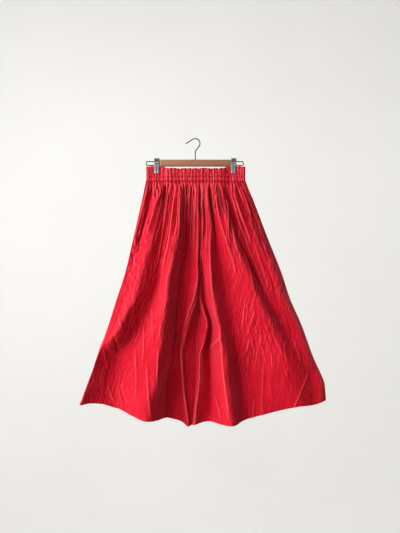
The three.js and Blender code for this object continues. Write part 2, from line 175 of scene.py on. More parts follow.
LAMPS = [  # name, kind, strength, size (degrees or metres), place, the place it shines at, colour
    ("window", "SUN", 2.85, 52, (-2.7, -1.25, 0.75), (0, 0, -0.5), (1.0, 0.985, 0.965)),
    ("room", "SUN", 0.42, 70, (-1.0, -2.5, 0.4), (0, 0, -0.5), (1.0, 0.99, 0.98)),
    ("behind", "SUN", 1.1, 45, (2.7, 2.1, 0.9), (0, 0, -0.5), (1.0, 0.99, 0.98)),
    ("sweep_left", "AREA", 26, 2.4, (-1.6, 0.9, 0.4), (-1.2, 3.6, -0.6), (1.0, 1.0, 0.99)),
    ("sweep_right", "AREA", 10, 2.4, (1.6, 0.9, 0.4), (1.2, 3.6, -0.6), (1.0, 0.99, 0.97)),
]
for name, kind, strength, size, place, target, colour in LAMPS:
    lamp = add_object(name, bpy.data.lights.new(name, kind))
    lamp.data.energy = strength
    lamp.data.color = colour
    lamp.location = place
    towards = [middle - start for middle, start in zip(target, place)]
    turn = math.atan2(towards[1], towards[0]) - math.pi / 2
    tilt = math.atan2(towards[2], math.hypot(towards[0], towards[1])) + math.pi / 2
    lamp.rotation_euler = (tilt, 0, turn)
    if kind == "SUN":
        lamp.data.angle = math.radians(size)
    else:
        lamp.data.size = size
        lamp.visible_camera = False

# ------------------------------------------------------------------ front legs
# Each front leg is one wide piece of plain-woven cotton and linen, gathered into the
# waistband, hanging in deep upright folds and flaring to a turned-up, machined hem.

MM = 0.001
CLOTH_WALL = 1.4
HEM_WALL = 2.2
HEM_DEPTH = 16
HEM_STITCH = 13.5
CREASE_DEPTH = 1.9
CRINKLE_DEPTH = 0.55
RUMPLE_DEPTH = 0.95

# The fold lines that run down each panel: how far along and how far back each one lies at
# these levels, and last at the hem. The hem's heights follow.
LEVELS = (-147, -209, -328, -460, -540, -634, -736, -838)
FRONT_LEFT = {
    "side": [(-168, 0), (-181, 0), (-208, 0), (-239, 0), (-265, 0), (-295, 0), (-331, 0), (-366, 0),
        (-389, 0)],
    "hollow": [(-150, -2), (-154, -5), (-191, -5), (-219, -8), (-239, -10), (-276, -9), (-328, -26),
        (-363, -24), (-386, -20)],
    "crumple": [(-127, -2.5), (-117, -16), (-142, -30), (-180, -36), (-201, -38), (-248, -36),
        (-306, -17), (-338, -13), (-356, -8)],
    "valley": [(-100, -5.5), (-100, -9), (-113, -14), (-125, -14), (-149, -12), (-190, -8), (-254, -3),
        (-285, 0), (-296, 2)],
    "bulge": [(-62, -8), (-50, -24), (-65, -42), (-84, -52), (-95, -58), (-111, -62), (-120, -64),
        (-139, -66), (-156, -67)],
    "dip": [(-30, -7), (-27, -8), (-28, -8), (-48, -6), (-54, -4), (-66, -3), (-72, -2), (-93, -1),
        (-93, -1)],
    "lap": [(-16, -7.5), (-14, -9), (-17, -10), (-21, -9), (-30, -5), (-39, -4), (-54, 1), (-52, 2),
        (-46, 2)],
    "fold": [(4, -9), (9, -20), (8.5, -24), (6, -26), (0, -24), (-26, -20), (-47, -3), (-40, -2),
        (-27, -6)],
    "tuck": [(9.5, -8), (12, -13), (11.5, -13), (10.5, -6), (7, 0), (-16, 6), (-38, 4), (-31, 4),
        (-21, 3)],
    "seam": [(14.5, -7), (14.5, -9), (14.5, -12), (14, 9.6), (11, 11.6), (7.5, 13), (5, 13), (2, 13),
        (-13.4, 8)],
}
FRONT_LEFT_HEM = (-902, -902, -899, -905, -947, -948, -963, -977, -976, -975)
FRONT_RIGHT = {
    "seam": [(14.5, -7), (14.5, -9), (14.5, -12), (14, 9.6), (11, 11.6), (7.5, 13), (5, 13), (2, 13),
        (-12.6, 8)],
    "inner": [(18, -8), (17, -11), (17, -12), (18, 0), (15, -3), (39, -9), (19, -7), (15, -7), (-4, -7)],
    "cleft": [(22, -8.5), (21, -16), (22, -20), (24, -6), (27, 6), (52, 10), (44, 18), (48, 20),
        (48, 14)],
    "ridge": [(36, -9), (36, -18), (45, -26), (50, -36), (60, -40), (80, -44), (101, -50), (108, -54),
        (118, -56)],
    "groove": [(52, -7), (50, -9), (66, -11), (91, -12), (107, -12), (129, -12), (145, -12), (162, -12),
        (178, -10)],
    "swell": [(81, -8.5), (86, -24), (122, -36), (172, -45), (204, -47), (254, -44), (294, -41),
        (334, -33), (350, -27)],
    "shade": [(112, -4.5), (116, -8), (158, -13), (204, -20), (244, -21), (296, -22), (350, -24),
        (400, -17), (404, -13)],
    "edge": [(140, -3), (158, -13), (208, -22), (266, -26), (296, -26), (340, -21), (380, -19),
        (424, -14), (426, -10)],
    "side": [(171, 0), (197, 0), (242, 0), (294, 0), (320, 0), (361, 0), (398, 0), (440, 0), (444, 0)],
}
FRONT_RIGHT_HEM = (-973, -972, -964, -965, -950, -905, -902, -896, -889)

# Creases pressed and pulled into the cloth: how wide each is, then the places it runs
# through, as how far along, at what height, and how far it stands out (or in, below 0).
# Both its ends lie flat.
FRONT_LEFT_CREASES = [
    (7, (-160, -158), (-171, -205, 3.2), (-188, -268, 3.6), (-201, -330, 3), (-212, -385)),
    (9, (-148, -160), (-156, -205, -3.6), (-171, -268, -3.8), (-186, -330, -3), (-198, -385)),
    (6, (-113, -152), (-115, -180, 3.5), (-132, -235, 5), (-151, -300, 4), (-170, -345)),
    (5, (-100, -152), (-103, -170, -3), (-111, -225, -4.5), (-125, -295, -4), (-146, -370)),
    (6, (-83, -150), (-89, -190, 4), (-96, -250, 5), (-108, -320, 4), (-124, -400, 2), (-138, -470)),
    (5, (-76, -152), (-78, -200, -3.5), (-86, -260, -4.5), (-95, -330, -4), (-108, -410)),
    (6, (-66, -160), (-71, -205, 3), (-75, -262, 4.5), (-80, -318, 4), (-92, -385, 3), (-110, -455, 1.5),
        (-122, -540)),
    (4, (-58, -158), (-62, -215, -3), (-66, -280, -3.5), (-74, -340)),
    (5, (-49, -155), (-52, -190, 3.5), (-54, -250, 4), (-57, -320, 3), (-66, -400)),
    (5, (-40, -152), (-39, -185, -4), (-38, -240, -4), (-42, -300)),
    (4, (-26, -150), (-28, -175, -3.5), (-29, -205)),
    (4, (-18, -150), (-18, -178, 3), (-20, -215, 2), (-24, -270)),
    (4, (-10, -150), (-13, -185, -3.5), (-15, -240, -3), (-17, -300)),
    (4, (4, -170), (3, -215, 2.5), (-1, -280, 2.5), (-3, -330, 1.5), (-5, -385)),
    (3, (9, -188), (9.5, -260, 1.6), (8, -340, 1.6), (8, -420)),
    (6, (-141, -151), (-152, -178, -3), (-165, -210, -3), (-174, -245)),
    (5, (-150, -158), (-160, -195, 2.5), (-170, -235, 2.5), (-176, -280)),
    (3, (6, -480), (-4, -540, 2), (-20, -590, 2.6), (-33, -640, 2.8), (-46, -700, 2.8), (-47, -740, 2.8),
        (-44, -800, 2.6), (-39, -856, 2.4), (-32, -912, 2), (-26, -946, 1), (-22, -968)),
    (2.5, (9, -500), (0, -545, -2), (-16, -590, -2.4), (-29, -640, -2.6), (-42, -700)),
    (4, (-121, -690), (-124, -760, 2.2), (-127, -830, 1.5), (-130, -880)),
    (5, (-160, -760), (-159, -790, 2), (-154, -850, 2.4), (-149, -921, 1.5), (-147, -955)),
    (4, (-163, -296), (-158, -305, 2.6), (-146, -318)),
    (4, (-170, -318), (-163, -330, -2.6), (-148, -340)),
    (4, (-176, -338), (-166, -350, 2.4), (-154, -362)),
    (4, (-206, -322), (-200, -345, 2.8), (-206, -372)),
    (4, (-218, -352), (-204, -372, -2.8), (-188, -380)),
    (4, (-222, -362), (-208, -386, 2.8), (-186, -396)),
    (3.5, (-212, -392), (-214, -418, -2.4), (-222, -444)),
    (3.5, (-200, -396), (-201, -424, 2.4), (-207, -452)),
    (5, (-212, -400), (-200, -425, 3), (-182, -440)),
    (5, (-228, -455), (-212, -470, 3), (-190, -500)),
    (4, (-236, -490), (-222, -520, -2.6), (-214, -560)),
    (4, (-246, -520), (-236, -548, 2.4), (-228, -590)),
    (5, (-262, -590), (-250, -620, 3), (-244, -668)),
    (4, (-284, -650), (-270, -690, -2.6), (-262, -740)),
    (4, (-300, -700), (-284, -716, 2.8), (-268, -722)),
    (4, (-310, -705), (-304, -745, 2.4), (-296, -790)),
    (5, (-262, -830), (-250, -860, -2.4), (-236, -905)),
    (5, (-300, -840), (-284, -875, 2), (-270, -905)),
    (4, (-205, -700), (-198, -760, 1.8), (-196, -840, 1.4), (-198, -900)),
    (4, (-176, -620), (-172, -690, 1.8), (-176, -770)),
    (4, (-146, -560), (-142, -620, 2), (-140, -700)),
]
FRONT_RIGHT_CREASES = [
    (9, (50, -630), (41, -685, -5), (33, -735, -3), (31, -790)),
    (3, (20, -180), (24, -235, 2.6), (27, -294, 2.4), (23, -361, 2.4), (21, -445, 2.4), (27, -490)),
    (2.5, (13, -525), (28, -585, 1.8), (39, -630, 2.2), (38, -665, 2.2), (27, -700, 2.2), (17, -735, 2.2),
        (16, -800, 2.2), (12, -850, 2), (6, -895, 1.5), (-2, -945)),
    (3, (20, -540), (34, -590, -2), (44, -630, -2.4), (43, -668, -2.4), (32, -703, -2.4),
        (22, -740, -2.4), (21, -800, -2.4), (17, -850, -2), (11, -895, -1.5), (3, -945)),
    (3, (28, -170), (31, -240, -3), (34, -300, -2.5), (33, -370)),
    (5, (41, -160), (39, -200, 3), (43, -250, 3.5), (50, -310, 3), (48, -361, 3), (50, -431, 3),
        (54, -490, 2.5), (60, -540)),
    (4, (49, -152), (48, -185, -4), (55, -240, -4), (63, -300, -3), (72, -350)),
    (4, (60, -150), (60, -172, 3), (64, -215, 3), (74, -270)),
    (6, (70, -152), (70, -185, 3.5), (78, -235, 5), (90, -290, 5), (108, -350, 4), (128, -420, 2),
        (142, -480)),
    (4, (78, -150), (84, -185, -3.5), (92, -225, -4), (100, -262)),
    (4, (86, -156), (93, -183, 3), (104, -222, 4), (108, -260, 4), (112, -322, 3), (116, -380)),
    (4, (96, -160), (108, -215, -4), (117, -270, -4), (124, -330, -2), (130, -380)),
    (7, (118, -150), (130, -190, 4), (150, -244, 4.5), (172, -306, 3.5), (194, -370)),
    (4, (104, -150), (116, -180, 3), (132, -225, 3), (148, -280, 3), (160, -330)),
    (4, (136, -155), (152, -200, -3.5), (168, -240, -3.5), (184, -290)),
    (4, (150, -160), (168, -205, 3), (184, -250, 3), (198, -300)),
    (4, (176, -215), (190, -262, -3), (204, -312, -2.4), (214, -350)),
    (3, (203, -270), (207, -290, -2.4), (220, -345, -2.8), (237, -396, -2), (246, -420)),
    (8, (111, -230), (133, -294, -3), (155, -361, -4), (189, -431, -4), (222, -501, -2), (250, -560)),
    (4, (150, -350), (168, -405, 2.2), (186, -470, 2), (200, -530)),
    (4, (196, -340), (214, -400, 2.4), (232, -455, 2), (246, -510)),
    (4, (236, -420), (252, -465, -2.4), (266, -515, -1.8), (276, -560)),
    (5, (229, -765), (228, -800, 1), (226, -860, 1.1), (224, -917, 0.8), (222, -945)),
    (4, (380, -788), (375, -803, 1.3), (352, -860, 1.5), (330, -914, 1.2), (325, -930)),
    (5, (80, -650), (88, -690, 3), (95, -782, 3), (105, -872, 2.4), (114, -940)),
    (5, (48, -722), (62, -700, 2.6), (78, -682, 3), (88, -670)),
    (4, (64, -715), (82, -706, -2.4), (98, -704)),
    (4, (165, -575), (162, -605, 1.3), (156, -640)),
    (4, (199, -580), (190, -613, 1.4), (181, -645, 1), (176, -670)),
    (4, (210, -598), (201, -622, -1.4), (192, -650)),
    (3, (176, -566), (184, -588, -1), (194, -606)),
    (4, (224, -650), (220, -676, 1.3), (216, -705)),
    (4, (234, -640), (242, -670, -1.4), (249, -705)),
    (4, (278, -685), (283, -706, 1.3), (289, -730)),
    (4, (275, -705), (272, -735, -1.2), (270, -770)),
    (4, (255, -705), (256, -740, 1.2), (258, -780)),
    (4, (182, -670), (177, -700, 1.2), (172, -735)),
    (4, (195, -715), (190, -748, -1.2), (185, -790)),
    (4, (296, -712), (301, -735, 1.1), (306, -762)),
    (5, (320, -640), (334, -690, 1.1), (352, -745, 1), (368, -800)),
    (4, (300, -590), (318, -640, -1.1), (336, -690)),
    (5, (245, -805), (251, -846, 1), (257, -890)),
    (4, (60, -860), (74, -890, 2.2), (84, -930, 1.6), (88, -955)),
    (3, (88, -900), (98, -925, -2), (106, -950)),
]

# Fine folds pressed into the cloth near the waistband, as how far along and at what height.
PRESSED_PAIR = ((1.9, -1.2, 1.6), (2.1, 1.5, -1.6))  # width, shift aside and lift: ridge, groove
LEFT_PRESSED = [
    [(-115, -150), (-116, -168), (-118, -190), (-122, -222)],
    [(-104, -152), (-108, -180), (-113, -225), (-120, -270)],
    [(-92, -150), (-95, -185), (-100, -240), (-108, -300)],
    [(-73, -160), (-77, -200), (-85, -255), (-93, -313), (-104, -370)],
    [(-51, -152), (-53, -185), (-56, -230), (-59, -276), (-64, -330)],
    [(-40, -150), (-41, -172), (-42, -205)],
    [(-4, -150), (-8, -200), (-12, -270), (-15, -330), (-17, -380)],
    [(-22, -150), (-24, -176), (-25, -200)],
    [(11.5, -160), (11, -200), (10.5, -300), (9, -400), (7, -440)],
    [(-128, -155), (-136, -185), (-147, -220)],
    [(-142, -160), (-153, -195), (-160, -230)],
    [(-150, -250), (-158, -280), (-166, -310)],
]
RIGHT_PRESSED = [
    [(18, -160), (19, -220), (20.5, -320), (21.5, -430), (22, -470)],
    [(30, -150), (31, -175), (32, -210)],
    [(46, -160), (47, -200), (50, -260), (55, -326), (60, -360)],
    [(72, -150), (71, -180), (69, -215), (69, -250)],
    [(86, -150), (92, -185), (100, -225), (106, -285), (111, -343), (114, -380)],
    [(98, -150), (103, -175), (110, -210)],
    [(117, -155), (130, -200), (150, -276), (184, -372), (227, -480), (240, -520)],
    [(132, -152), (142, -180), (155, -215)],
    [(146, -160), (158, -190), (172, -235), (184, -280)],
    [(60, -152), (60, -180), (61, -200)],
]


def ease(values, at):
    """A smooth curve through evenly stepped values that never swings past any of them."""
    values = np.asarray(values, dtype=float)
    step = np.diff(values, axis=0)
    together = step[:-1] * step[1:]
    total = np.where(step[:-1] + step[1:] == 0, 1, step[:-1] + step[1:])
    slope = np.concatenate([step[:1], np.where(together > 0, 2 * together / total, 0), step[-1:]])
    at = np.asarray(at, dtype=float)
    k = np.clip(np.floor(at).astype(int), 0, len(values) - 2)
    t = (at - k).reshape((-1,) + (1,) * (values.ndim - 1))
    back = 1 - t
    return (back * back * (1 + 2 * t) * values[k] + t * t * (3 - 2 * t) * values[k + 1]
            + t * back * back * slope[k] - t * t * back * slope[k + 1])


def smooth(value, low, high):
    """0 below low, 1 above high, and an even rise between."""
    t = np.clip((value - low) / (high - low), 0, 1)
    return t * t * (3 - 2 * t)


TRIAL_ROWS, TRIAL_COLUMNS, TRIAL_FROM = 60, 400, 20  # a coarse grid, measured below its gathers
TIGHTENED = 2.2  # how much closer the columns stand between the tight lines


def panel_surface(lines, hem, rows, columns, tight):
    """The middle surface of a leg panel: rows by columns of points, closest between the tight lines."""
    table = np.array([[(x, y, z) for (x, y), z in zip(line, (*LEVELS, low))]
                      for line, low in zip(lines.values(), hem)]).transpose(1, 0, 2)
    mean_height = table[..., 2].mean(axis=1)
    drop = mean_height - mean_height[0]
    down = np.interp(np.linspace(0, drop[-1], rows), drop[::-1], np.arange(len(drop))[::-1])
    trial_down = np.linspace(0, len(table) - 1, TRIAL_ROWS)
    line = np.linspace(0, len(lines) - 1, TRIAL_COLUMNS)
    trial = ease(ease(table, trial_down).transpose(1, 0, 2), line)
    run = np.linalg.norm(np.diff(trial[:, TRIAL_FROM:], axis=0), axis=2).mean(axis=1)
    run = run * np.where((line[1:] > tight[0]) & (line[:-1] < tight[1]), TIGHTENED, 1)
    reach = np.concatenate([[0], np.cumsum(run)])
    across = np.interp(np.linspace(0, reach[-1], columns), reach, line)
    return ease(ease(table, down).transpose(1, 0, 2), across).transpose(1, 0, 2)


def outward(points, facing):
    """The direction that each place of a surface faces, to the wearer's front (-1) or back (1)."""
    along = np.gradient(points, axis=1)
    down = np.gradient(points, axis=0)
    normal = np.cross(along, down)
    normal *= facing / np.linalg.norm(normal, axis=2, keepdims=True)
    return normal


def lengths(points, axis):
    """How far each place lies along the cloth from the first row (axis 0) or column (axis 1)."""
    first = points[:1] if axis == 0 else points[:, :1]
    return np.cumsum(np.linalg.norm(np.diff(points, axis=axis, prepend=first), axis=2), axis=axis)


FLANK, CREST, PEAK = 0.55, 0.2, 0.45  # a crease's slope and rounding, and what brings its top to 1


def crease_relief(points, creases):
    """How far the creases lift each place of a surface; each one starts and ends flat."""
    x, z = points[..., 0], points[..., 2]
    relief = np.zeros(x.shape)
    for width, first, *inner, last in creases:
        places = [(*first, 0), *inner, (*last, 0)]
        route = ease(places, np.linspace(0, len(places) - 1, 6 * len(places)))
        low, high = route.min(axis=0) - 3 * width, route.max(axis=0) + 3 * width
        near = (x > low[0]) & (x < high[0]) & (z > low[1]) & (z < high[1])
        px, pz = x[near], z[near]
        best = np.full(px.shape, np.inf)
        lift = np.zeros(px.shape)
        for (ax, az, al), (bx, bz, bl) in zip(route[:-1], route[1:]):
            length = (bx - ax) ** 2 + (bz - az) ** 2
            share = np.clip(((px - ax) * (bx - ax) + (pz - az) * (bz - az)) / length, 0, 1)
            gap = (px - ax - share * (bx - ax)) ** 2 + (pz - az - share * (bz - az)) ** 2
            nearer = gap < best
            best = np.where(nearer, gap, best)
            lift = np.where(nearer, al + share * (bl - al), lift)
        relief[near] += lift * np.exp(PEAK - np.sqrt(best / (FLANK * width) ** 2 + CREST))
    return relief


def pressed_lines(routes):
    """A fine pressed fold for each route: a sharp ridge with a sharp groove on its right."""
    folds = []
    for route in routes:
        for width, aside, lift in PRESSED_PAIR:
            (first_x, first_z), *inner, (last_x, last_z) = route
            inner = [(x + aside, z, lift) for x, z in inner]
            folds.append((width, (first_x + aside, first_z), *inner, (last_x + aside, last_z)))
    return folds


CRINKLE_WIDTHS = (2.4, 5.0)
CRINKLE_REACH = 2.2  # how many of its own lengths a small crease is followed for


def crinkle_relief(points, patches, dice):
    """Small creases scattered over patches of the cloth, most of them along the folds."""
    x, z = points[..., 0], points[..., 2]
    relief = np.zeros(x.shape)
    grain = np.gradient(x, axis=0) / np.gradient(z, axis=0)
    for middle_x, middle_z, half_x, half_z, count, lift, length, lean in patches:
        for _ in range(count):
            cx = middle_x + half_x * np.clip(dice.normal(0, 0.5), -1, 1)
            cz = middle_z + half_z * np.clip(dice.normal(0, 0.5), -1, 1)
            long = length * dice.uniform(0.5, 1.6)
            wide = dice.uniform(*CRINKLE_WIDTHS)
            rise = lift * dice.uniform(0.3, 1.0) * dice.choice([-1, 1])
            tilt = lean + dice.normal(0, 0.22)
            bow = dice.normal(0, 0.25) / long
            near = (np.abs(x - cx) < CRINKLE_REACH * long) & (np.abs(z - cz) < CRINKLE_REACH * long)
            if not near.any():
                continue
            dx, dz = x[near] - cx, z[near] - cz
            slant = np.arctan(grain[near].mean()) + tilt
            along = dz * math.cos(slant) + dx * math.sin(slant)
            aside = dx * math.cos(slant) - dz * math.sin(slant) + bow * along ** 2
            flank = np.sqrt((aside / (FLANK * wide)) ** 2 + CREST)
            relief[near] += rise * np.exp(PEAK - (along / long) ** 2 - flank)
    return relief


# The gathers: 33 unevenly spaced puffs across the front and as many across the back. Each
# runs on below the waistband for a length of its own and dies out.
BAND_LEFT, BAND_RIGHT = -166, 170
BAND_TOP, BAND_SAG = -95, {-1: 7.5, 1: 4.5}
UPPER_STITCH, LOWER_STITCH, BAND_BOTTOM = -131.5, -145.4, -147
BAND_EASE = 6
BAND_END = 8
CLIP_LEFT, CLIP_RIGHT, CLIP_WIDTH = -130, 130.5, 18
CLIP_DRAWS = 38  # how far from a clip the band is drawn together
CLIP_PINCHES = (1, 7)  # how far past a clip's side the cloth starts to spring free, and is free
GATHERS = 33
GATHER_GAPS = (0.55, 1.5)
GATHER_HEIGHTS = (0.45, 1.0)
RUN_ON, RUN_ON_MORE, LONG_ONES_RARE = 13, 185, 1.7
PUFF_HEIGHT, PUFF_MEAN = 2.8, 0.45
PUFF_POWER = 0.75  # lower makes each puff rounder and the valleys between sharper

gather_tables = {}
for facing in (-1, 1):
    dice = np.random.default_rng(40 + facing)
    gaps = dice.uniform(*GATHER_GAPS, GATHERS)
    crests = BAND_LEFT + (BAND_RIGHT - BAND_LEFT) * (np.cumsum(gaps) - gaps / 2) / gaps.sum()
    heights = dice.uniform(*GATHER_HEIGHTS, GATHERS)
    reaches = RUN_ON + RUN_ON_MORE * dice.uniform(0, 1, GATHERS) ** LONG_ONES_RARE
    gather_tables[facing] = (crests, heights, reaches)


def away_from_clips(x):
    """1 between the clips and 0 at a clip and beyond, rising smoothly."""
    return smooth(np.minimum(x - CLIP_LEFT, CLIP_RIGHT - x) - CLIP_WIDTH / 2, 0, CLIP_DRAWS)


def loose(x):
    """0 where a clip pinches the band flat, and 1 clear of it."""
    to_clip = np.minimum(np.abs(x - CLIP_LEFT), np.abs(x - CLIP_RIGHT))
    return smooth(to_clip, *(CLIP_WIDTH / 2 + past for past in CLIP_PINCHES))


def inside_ends(x):
    """0 at either end of the band, and 1 clear of them."""
    return smooth(np.minimum(x - BAND_LEFT, BAND_RIGHT - x), 0, BAND_END)


def puffs(x, facing, freed):
    """How high (0 to 1) the gathers stand at x, and which gather it is; freed is 1 below the clips."""
    crests, heights, _ = gather_tables[facing]
    turn = np.interp(x, crests, np.arange(GATHERS))
    which = np.rint(turn).astype(int)
    puff = np.cos(np.pi * (turn - which)) ** PUFF_POWER
    return heights[which] * puff * np.maximum(loose(x), freed) * inside_ends(x), which


def band_depth(x, facing):
    """How far back the middle of the gathered band lies, before its puffs."""
    return facing * (CLOTH_WALL + BAND_EASE * away_from_clips(x))


def smooth_piece(name, places, faces):
    """A new piece with smooth shading, from places in millimetres and its faces."""
    mesh = bpy.data.meshes.new(name)
    mesh.from_pydata(places * MM, [], faces)
    mesh.polygons.foreach_set("use_smooth", np.ones(len(mesh.polygons), dtype=bool))
    return add_object(name, mesh)


PAINTED_LIGHT_PER_CURVE = 2.2  # how much a fold of 1 mm radius changes the painted shade and highlight
SHARP_EDGE = math.radians(60)


def cloth_wall(name, node, points, facing, thickness, square=()):
    """A closed wall of cloth round a grid of middle points, with its weave and its painted shade and
    highlight kept on it.
    """
    rows, columns = points.shape[:2]
    normal = outward(points, facing)
    for column in square:
        normal[:, column] = (0, facing, 0)
    half = np.broadcast_to(thickness, (rows, columns))[..., None] / 2
    layers = np.stack([points + normal * half, points - normal * half])
    at = np.arange(2 * rows * columns).reshape(2, rows, columns)
    sides = [(at[0], facing < 0), (at[1], facing > 0)]
    sides += [(edge, turned == (facing < 0)) for edge, turned in (
        (at[:, 0], True), (at[:, -1], False), (at[:, :, 0], False), (at[:, :, -1], True))]
    quads = []
    for side, turned in sides:
        a, b, c, d = side[:-1, :-1], side[:-1, 1:], side[1:, 1:], side[1:, :-1]
        quads.append(np.stack([a, d, c, b] if turned else [a, b, c, d], axis=-1).reshape(-1, 4))
    quads = np.concatenate(quads)[:, ::-1]
    piece = smooth_piece(name, layers.reshape(-1, 3), quads.tolist())
    mesh = piece.data
    run = lengths(points, 1)
    run -= run.mean(axis=1, keepdims=True)
    weave = np.tile(np.stack([run, lengths(points, 0)], axis=-1).reshape(-1, 2) * MM, (2, 1))
    loops = np.empty(len(mesh.loops), dtype=np.int32)
    mesh.loops.foreach_get("vertex_index", loops)
    mesh.uv_layers.new(name="weave").data.foreach_set("uv", weave[loops].ravel())
    # Painted shade and highlight kept on the points: above 0.5 where the cloth curves out into a ridge,
    # below 0.5 where it curves into a hollow.
    painted_shade_and_highlight = np.full((rows, columns), 0.5)
    for axis in (0, 1):
        step = np.gradient(points, axis=axis)
        bend = np.gradient(step, axis=axis) / (step ** 2).sum(axis=2, keepdims=True)
        painted_shade_and_highlight -= PAINTED_LIGHT_PER_CURVE * (bend * normal).sum(axis=2)
    painted_shade_and_highlight = np.tile(np.clip(painted_shade_and_highlight, 0, 1).ravel(), 2)
    mesh.attributes.new("painted_shade_and_highlight", "FLOAT", "POINT").data.foreach_set("value", painted_shade_and_highlight)
    mesh.set_sharp_from_angle(angle=SHARP_EDGE)
    mesh.materials.append(cloth)
    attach(piece, "root")
    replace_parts(piece, node)
    return piece


DYES = ((0.575, 0.004, 0.029, 1), (0.735, 0.027, 0.065, 1))
# Painted shade: the dark red mixed into the hollows. Painted highlight: the pale pink mixed onto the ridges.
HOLLOW_PAINTED_SHADE = (0.36, 0.001, 0.010, 1)
RIDGE_PAINTED_HIGHLIGHT = (0.90, 0.20, 0.23, 1)
SHEEN_TINT = (1.0, 0.56, 0.64, 1)
WARP_SLUBS, WEFT_SLUBS, DRAWN = (900, 45, 1), (60, 1100, 1), (230, 38, 1)


def stretched(tree, place, scale):
    """A place scaled by its own amount along each axis, which draws a texture out."""
    return add_node(tree, "Mapping", Vector=place, Scale=scale).outputs["Vector"]


def maths(tree, operation, *values):
    """One step of arithmetic on values or other nodes' outputs."""
    inputs = {f"n{at}": value for at, value in enumerate(values)}
    return add_node(tree, "Math", {"operation": operation}, **inputs).outputs[0]


def mixed(tree, share, first, second):
    """The first colour with a share of the second."""
    mix = add_node(tree, "Mix", {"data_type": "RGBA"}, Factor=share, n6=first, n7=second)
    return mix.outputs[2]


def bumped(tree, height, settings=(), **inputs):
    """The way a surface faces once small bumps of this height lie on it."""
    return add_node(tree, "Bump", settings, Height=height, **inputs).outputs["Normal"]


def red_cloth():
    """Plain-woven cotton and linen dyed red: slubs, a fine weave, small rumples, a painted highlight on
    ridges and painted shade in hollows.
    """
    material, tree, shader = new_material("red cotton and linen")
    weave = add_node(tree, "UVMap", {"uv_map": "weave"}).outputs["UV"]
    warp = noise(tree, stretched(tree, weave, WARP_SLUBS), Scale=1.0, Detail=2.0)
    weft = noise(tree, stretched(tree, weave, WEFT_SLUBS), Scale=1.0, Detail=2.0)
    rumple = noise(tree, weave, Scale=150.0, Detail=4.0, Distortion=0.6)
    patchy = noise(tree, weave, Scale=9.0, Detail=3.0)
    streak = noise(tree, stretched(tree, weave, DRAWN), Scale=1.0, Detail=3.0, Distortion=0.4)
    over, under = (add_node(tree, "TexWave", {"bands_direction": way}, Vector=weave,
                            Scale=350.0, Distortion=0.4).outputs["Fac"] for way in "XY")
    slubs = maths(tree, "ADD", warp, weft)
    shade = ranged(tree, maths(tree, "MULTIPLY_ADD", slubs, 0.45, patchy), From_Min=0.6, From_Max=1.3)
    painted_shade_and_highlight = add_node(tree, "Attribute", {"attribute_name": "painted_shade_and_highlight"}).outputs["Fac"]
    # Painted light by curvature: ridges are mixed towards a pale painted highlight, and hollows towards a
    # dark painted shade.
    ridge = ranged(tree, painted_shade_and_highlight, From_Min=0.54, From_Max=0.95, To_Max=0.5)
    hollow = ranged(tree, painted_shade_and_highlight, From_Min=0.48, From_Max=0.1, To_Max=0.55)
    deep = mixed(tree, hollow, blend(tree, shade, *DYES), HOLLOW_PAINTED_SHADE)
    dye_with_painted_light = mixed(tree, ridge, deep, RIDGE_PAINTED_HIGHLIGHT)
    threads = maths(tree, "ADD", maths(tree, "MULTIPLY", over, under), slubs)
    fine = bumped(tree, threads, Strength=0.5, Distance=0.00018)
    coarse = bumped(tree, rumple, Strength=0.6, Distance=0.0009, Normal=fine)
    ridged = maths(tree, "ABSOLUTE", maths(tree, "SUBTRACT", streak, 0.5))
    crinkled = bumped(tree, ridged, {"invert": True}, Strength=0.8, Distance=0.006, Normal=coarse)
    feed(tree, shader, Base_Color=dye_with_painted_light, Normal=crinkled, Roughness=0.75, Specular_IOR_Level=0.25,
         Sheen_Weight=0.4, Sheen_Roughness=0.45, Sheen_Tint=SHEEN_TINT)
    return material


cloth = red_cloth()


def swells(run, fall, wide, long, dice):
    """Smooth uneven swells between -1 and 1, about so wide across the cloth and so long down it."""
    across = (run - run.min()) / wide
    across = across + 0.5 * np.sin(fall / (1.9 * long)) + 0.3 * np.sin(fall / (0.7 * long) + 2)
    down = fall / long + 0.4 * np.sin(run / (2.3 * wide))
    across, down = across - across.min(), down - down.min()
    knots = dice.uniform(-1, 1, (int(down.max()) + 2, int(across.max()) + 2))
    i, j = down.astype(int), across.astype(int)
    u, v = (part * part * (3 - 2 * part) for part in (down - i, across - j))
    return ((knots[i, j] * (1 - v) + knots[i, j + 1] * v) * (1 - u)
            + (knots[i + 1, j] * (1 - v) + knots[i + 1, j + 1] * v) * u)


RUMPLE_SIZES = ((14, 50, 0.75), (8, 28, 0.6), (5.5, 18, 0.42))  # width, length, lift of the ridges
CALM_SIZE, BROAD_SIZE = (70, 130), (24, 90)  # width and length of the calm places and broad swells
CALMEST = 0.35


def rumples(run, fall, dice):
    """The crumpled look of washed, unironed cloth: broad swells, and crisp little ridges in places."""
    calm = CALMEST + (1 - CALMEST) * smooth(swells(run, fall, *CALM_SIZE, dice), -0.5, 0.4)
    relief = swells(run, fall, *BROAD_SIZE, dice)
    for wide, long, lift in RUMPLE_SIZES:
        relief = relief + calm * lift * (1 - 2.6 * np.abs(swells(run, fall, wide, long, dice)))
    return relief


EDGE_FLAT = 9  # how far in from a seam the cloth is held flat by it
SEAM_QUIET = (30, 110)  # how far from the middle seam the small creases grow from weak to full
TUCKED = 26  # how far below the band the panel still follows it
FRONT_GRID, BACK_GRID = (178, 262), (170, 210)  # rows and columns of points
TOP_HIDDEN = 3  # how far the panel's top edge runs up into the band
BAND_CLEAR = 0.4
BELOW_BAND = 2.2  # how much higher the gathers stand once the band lets them go
LET_GO = (-4, 14)
CREASES_START = (4, 20)
QUIET_SHARE = 0.4
HEM_PUCKER, HEM_FLUTTER, HEM_DENT = 0.22, 0.8, 0.5


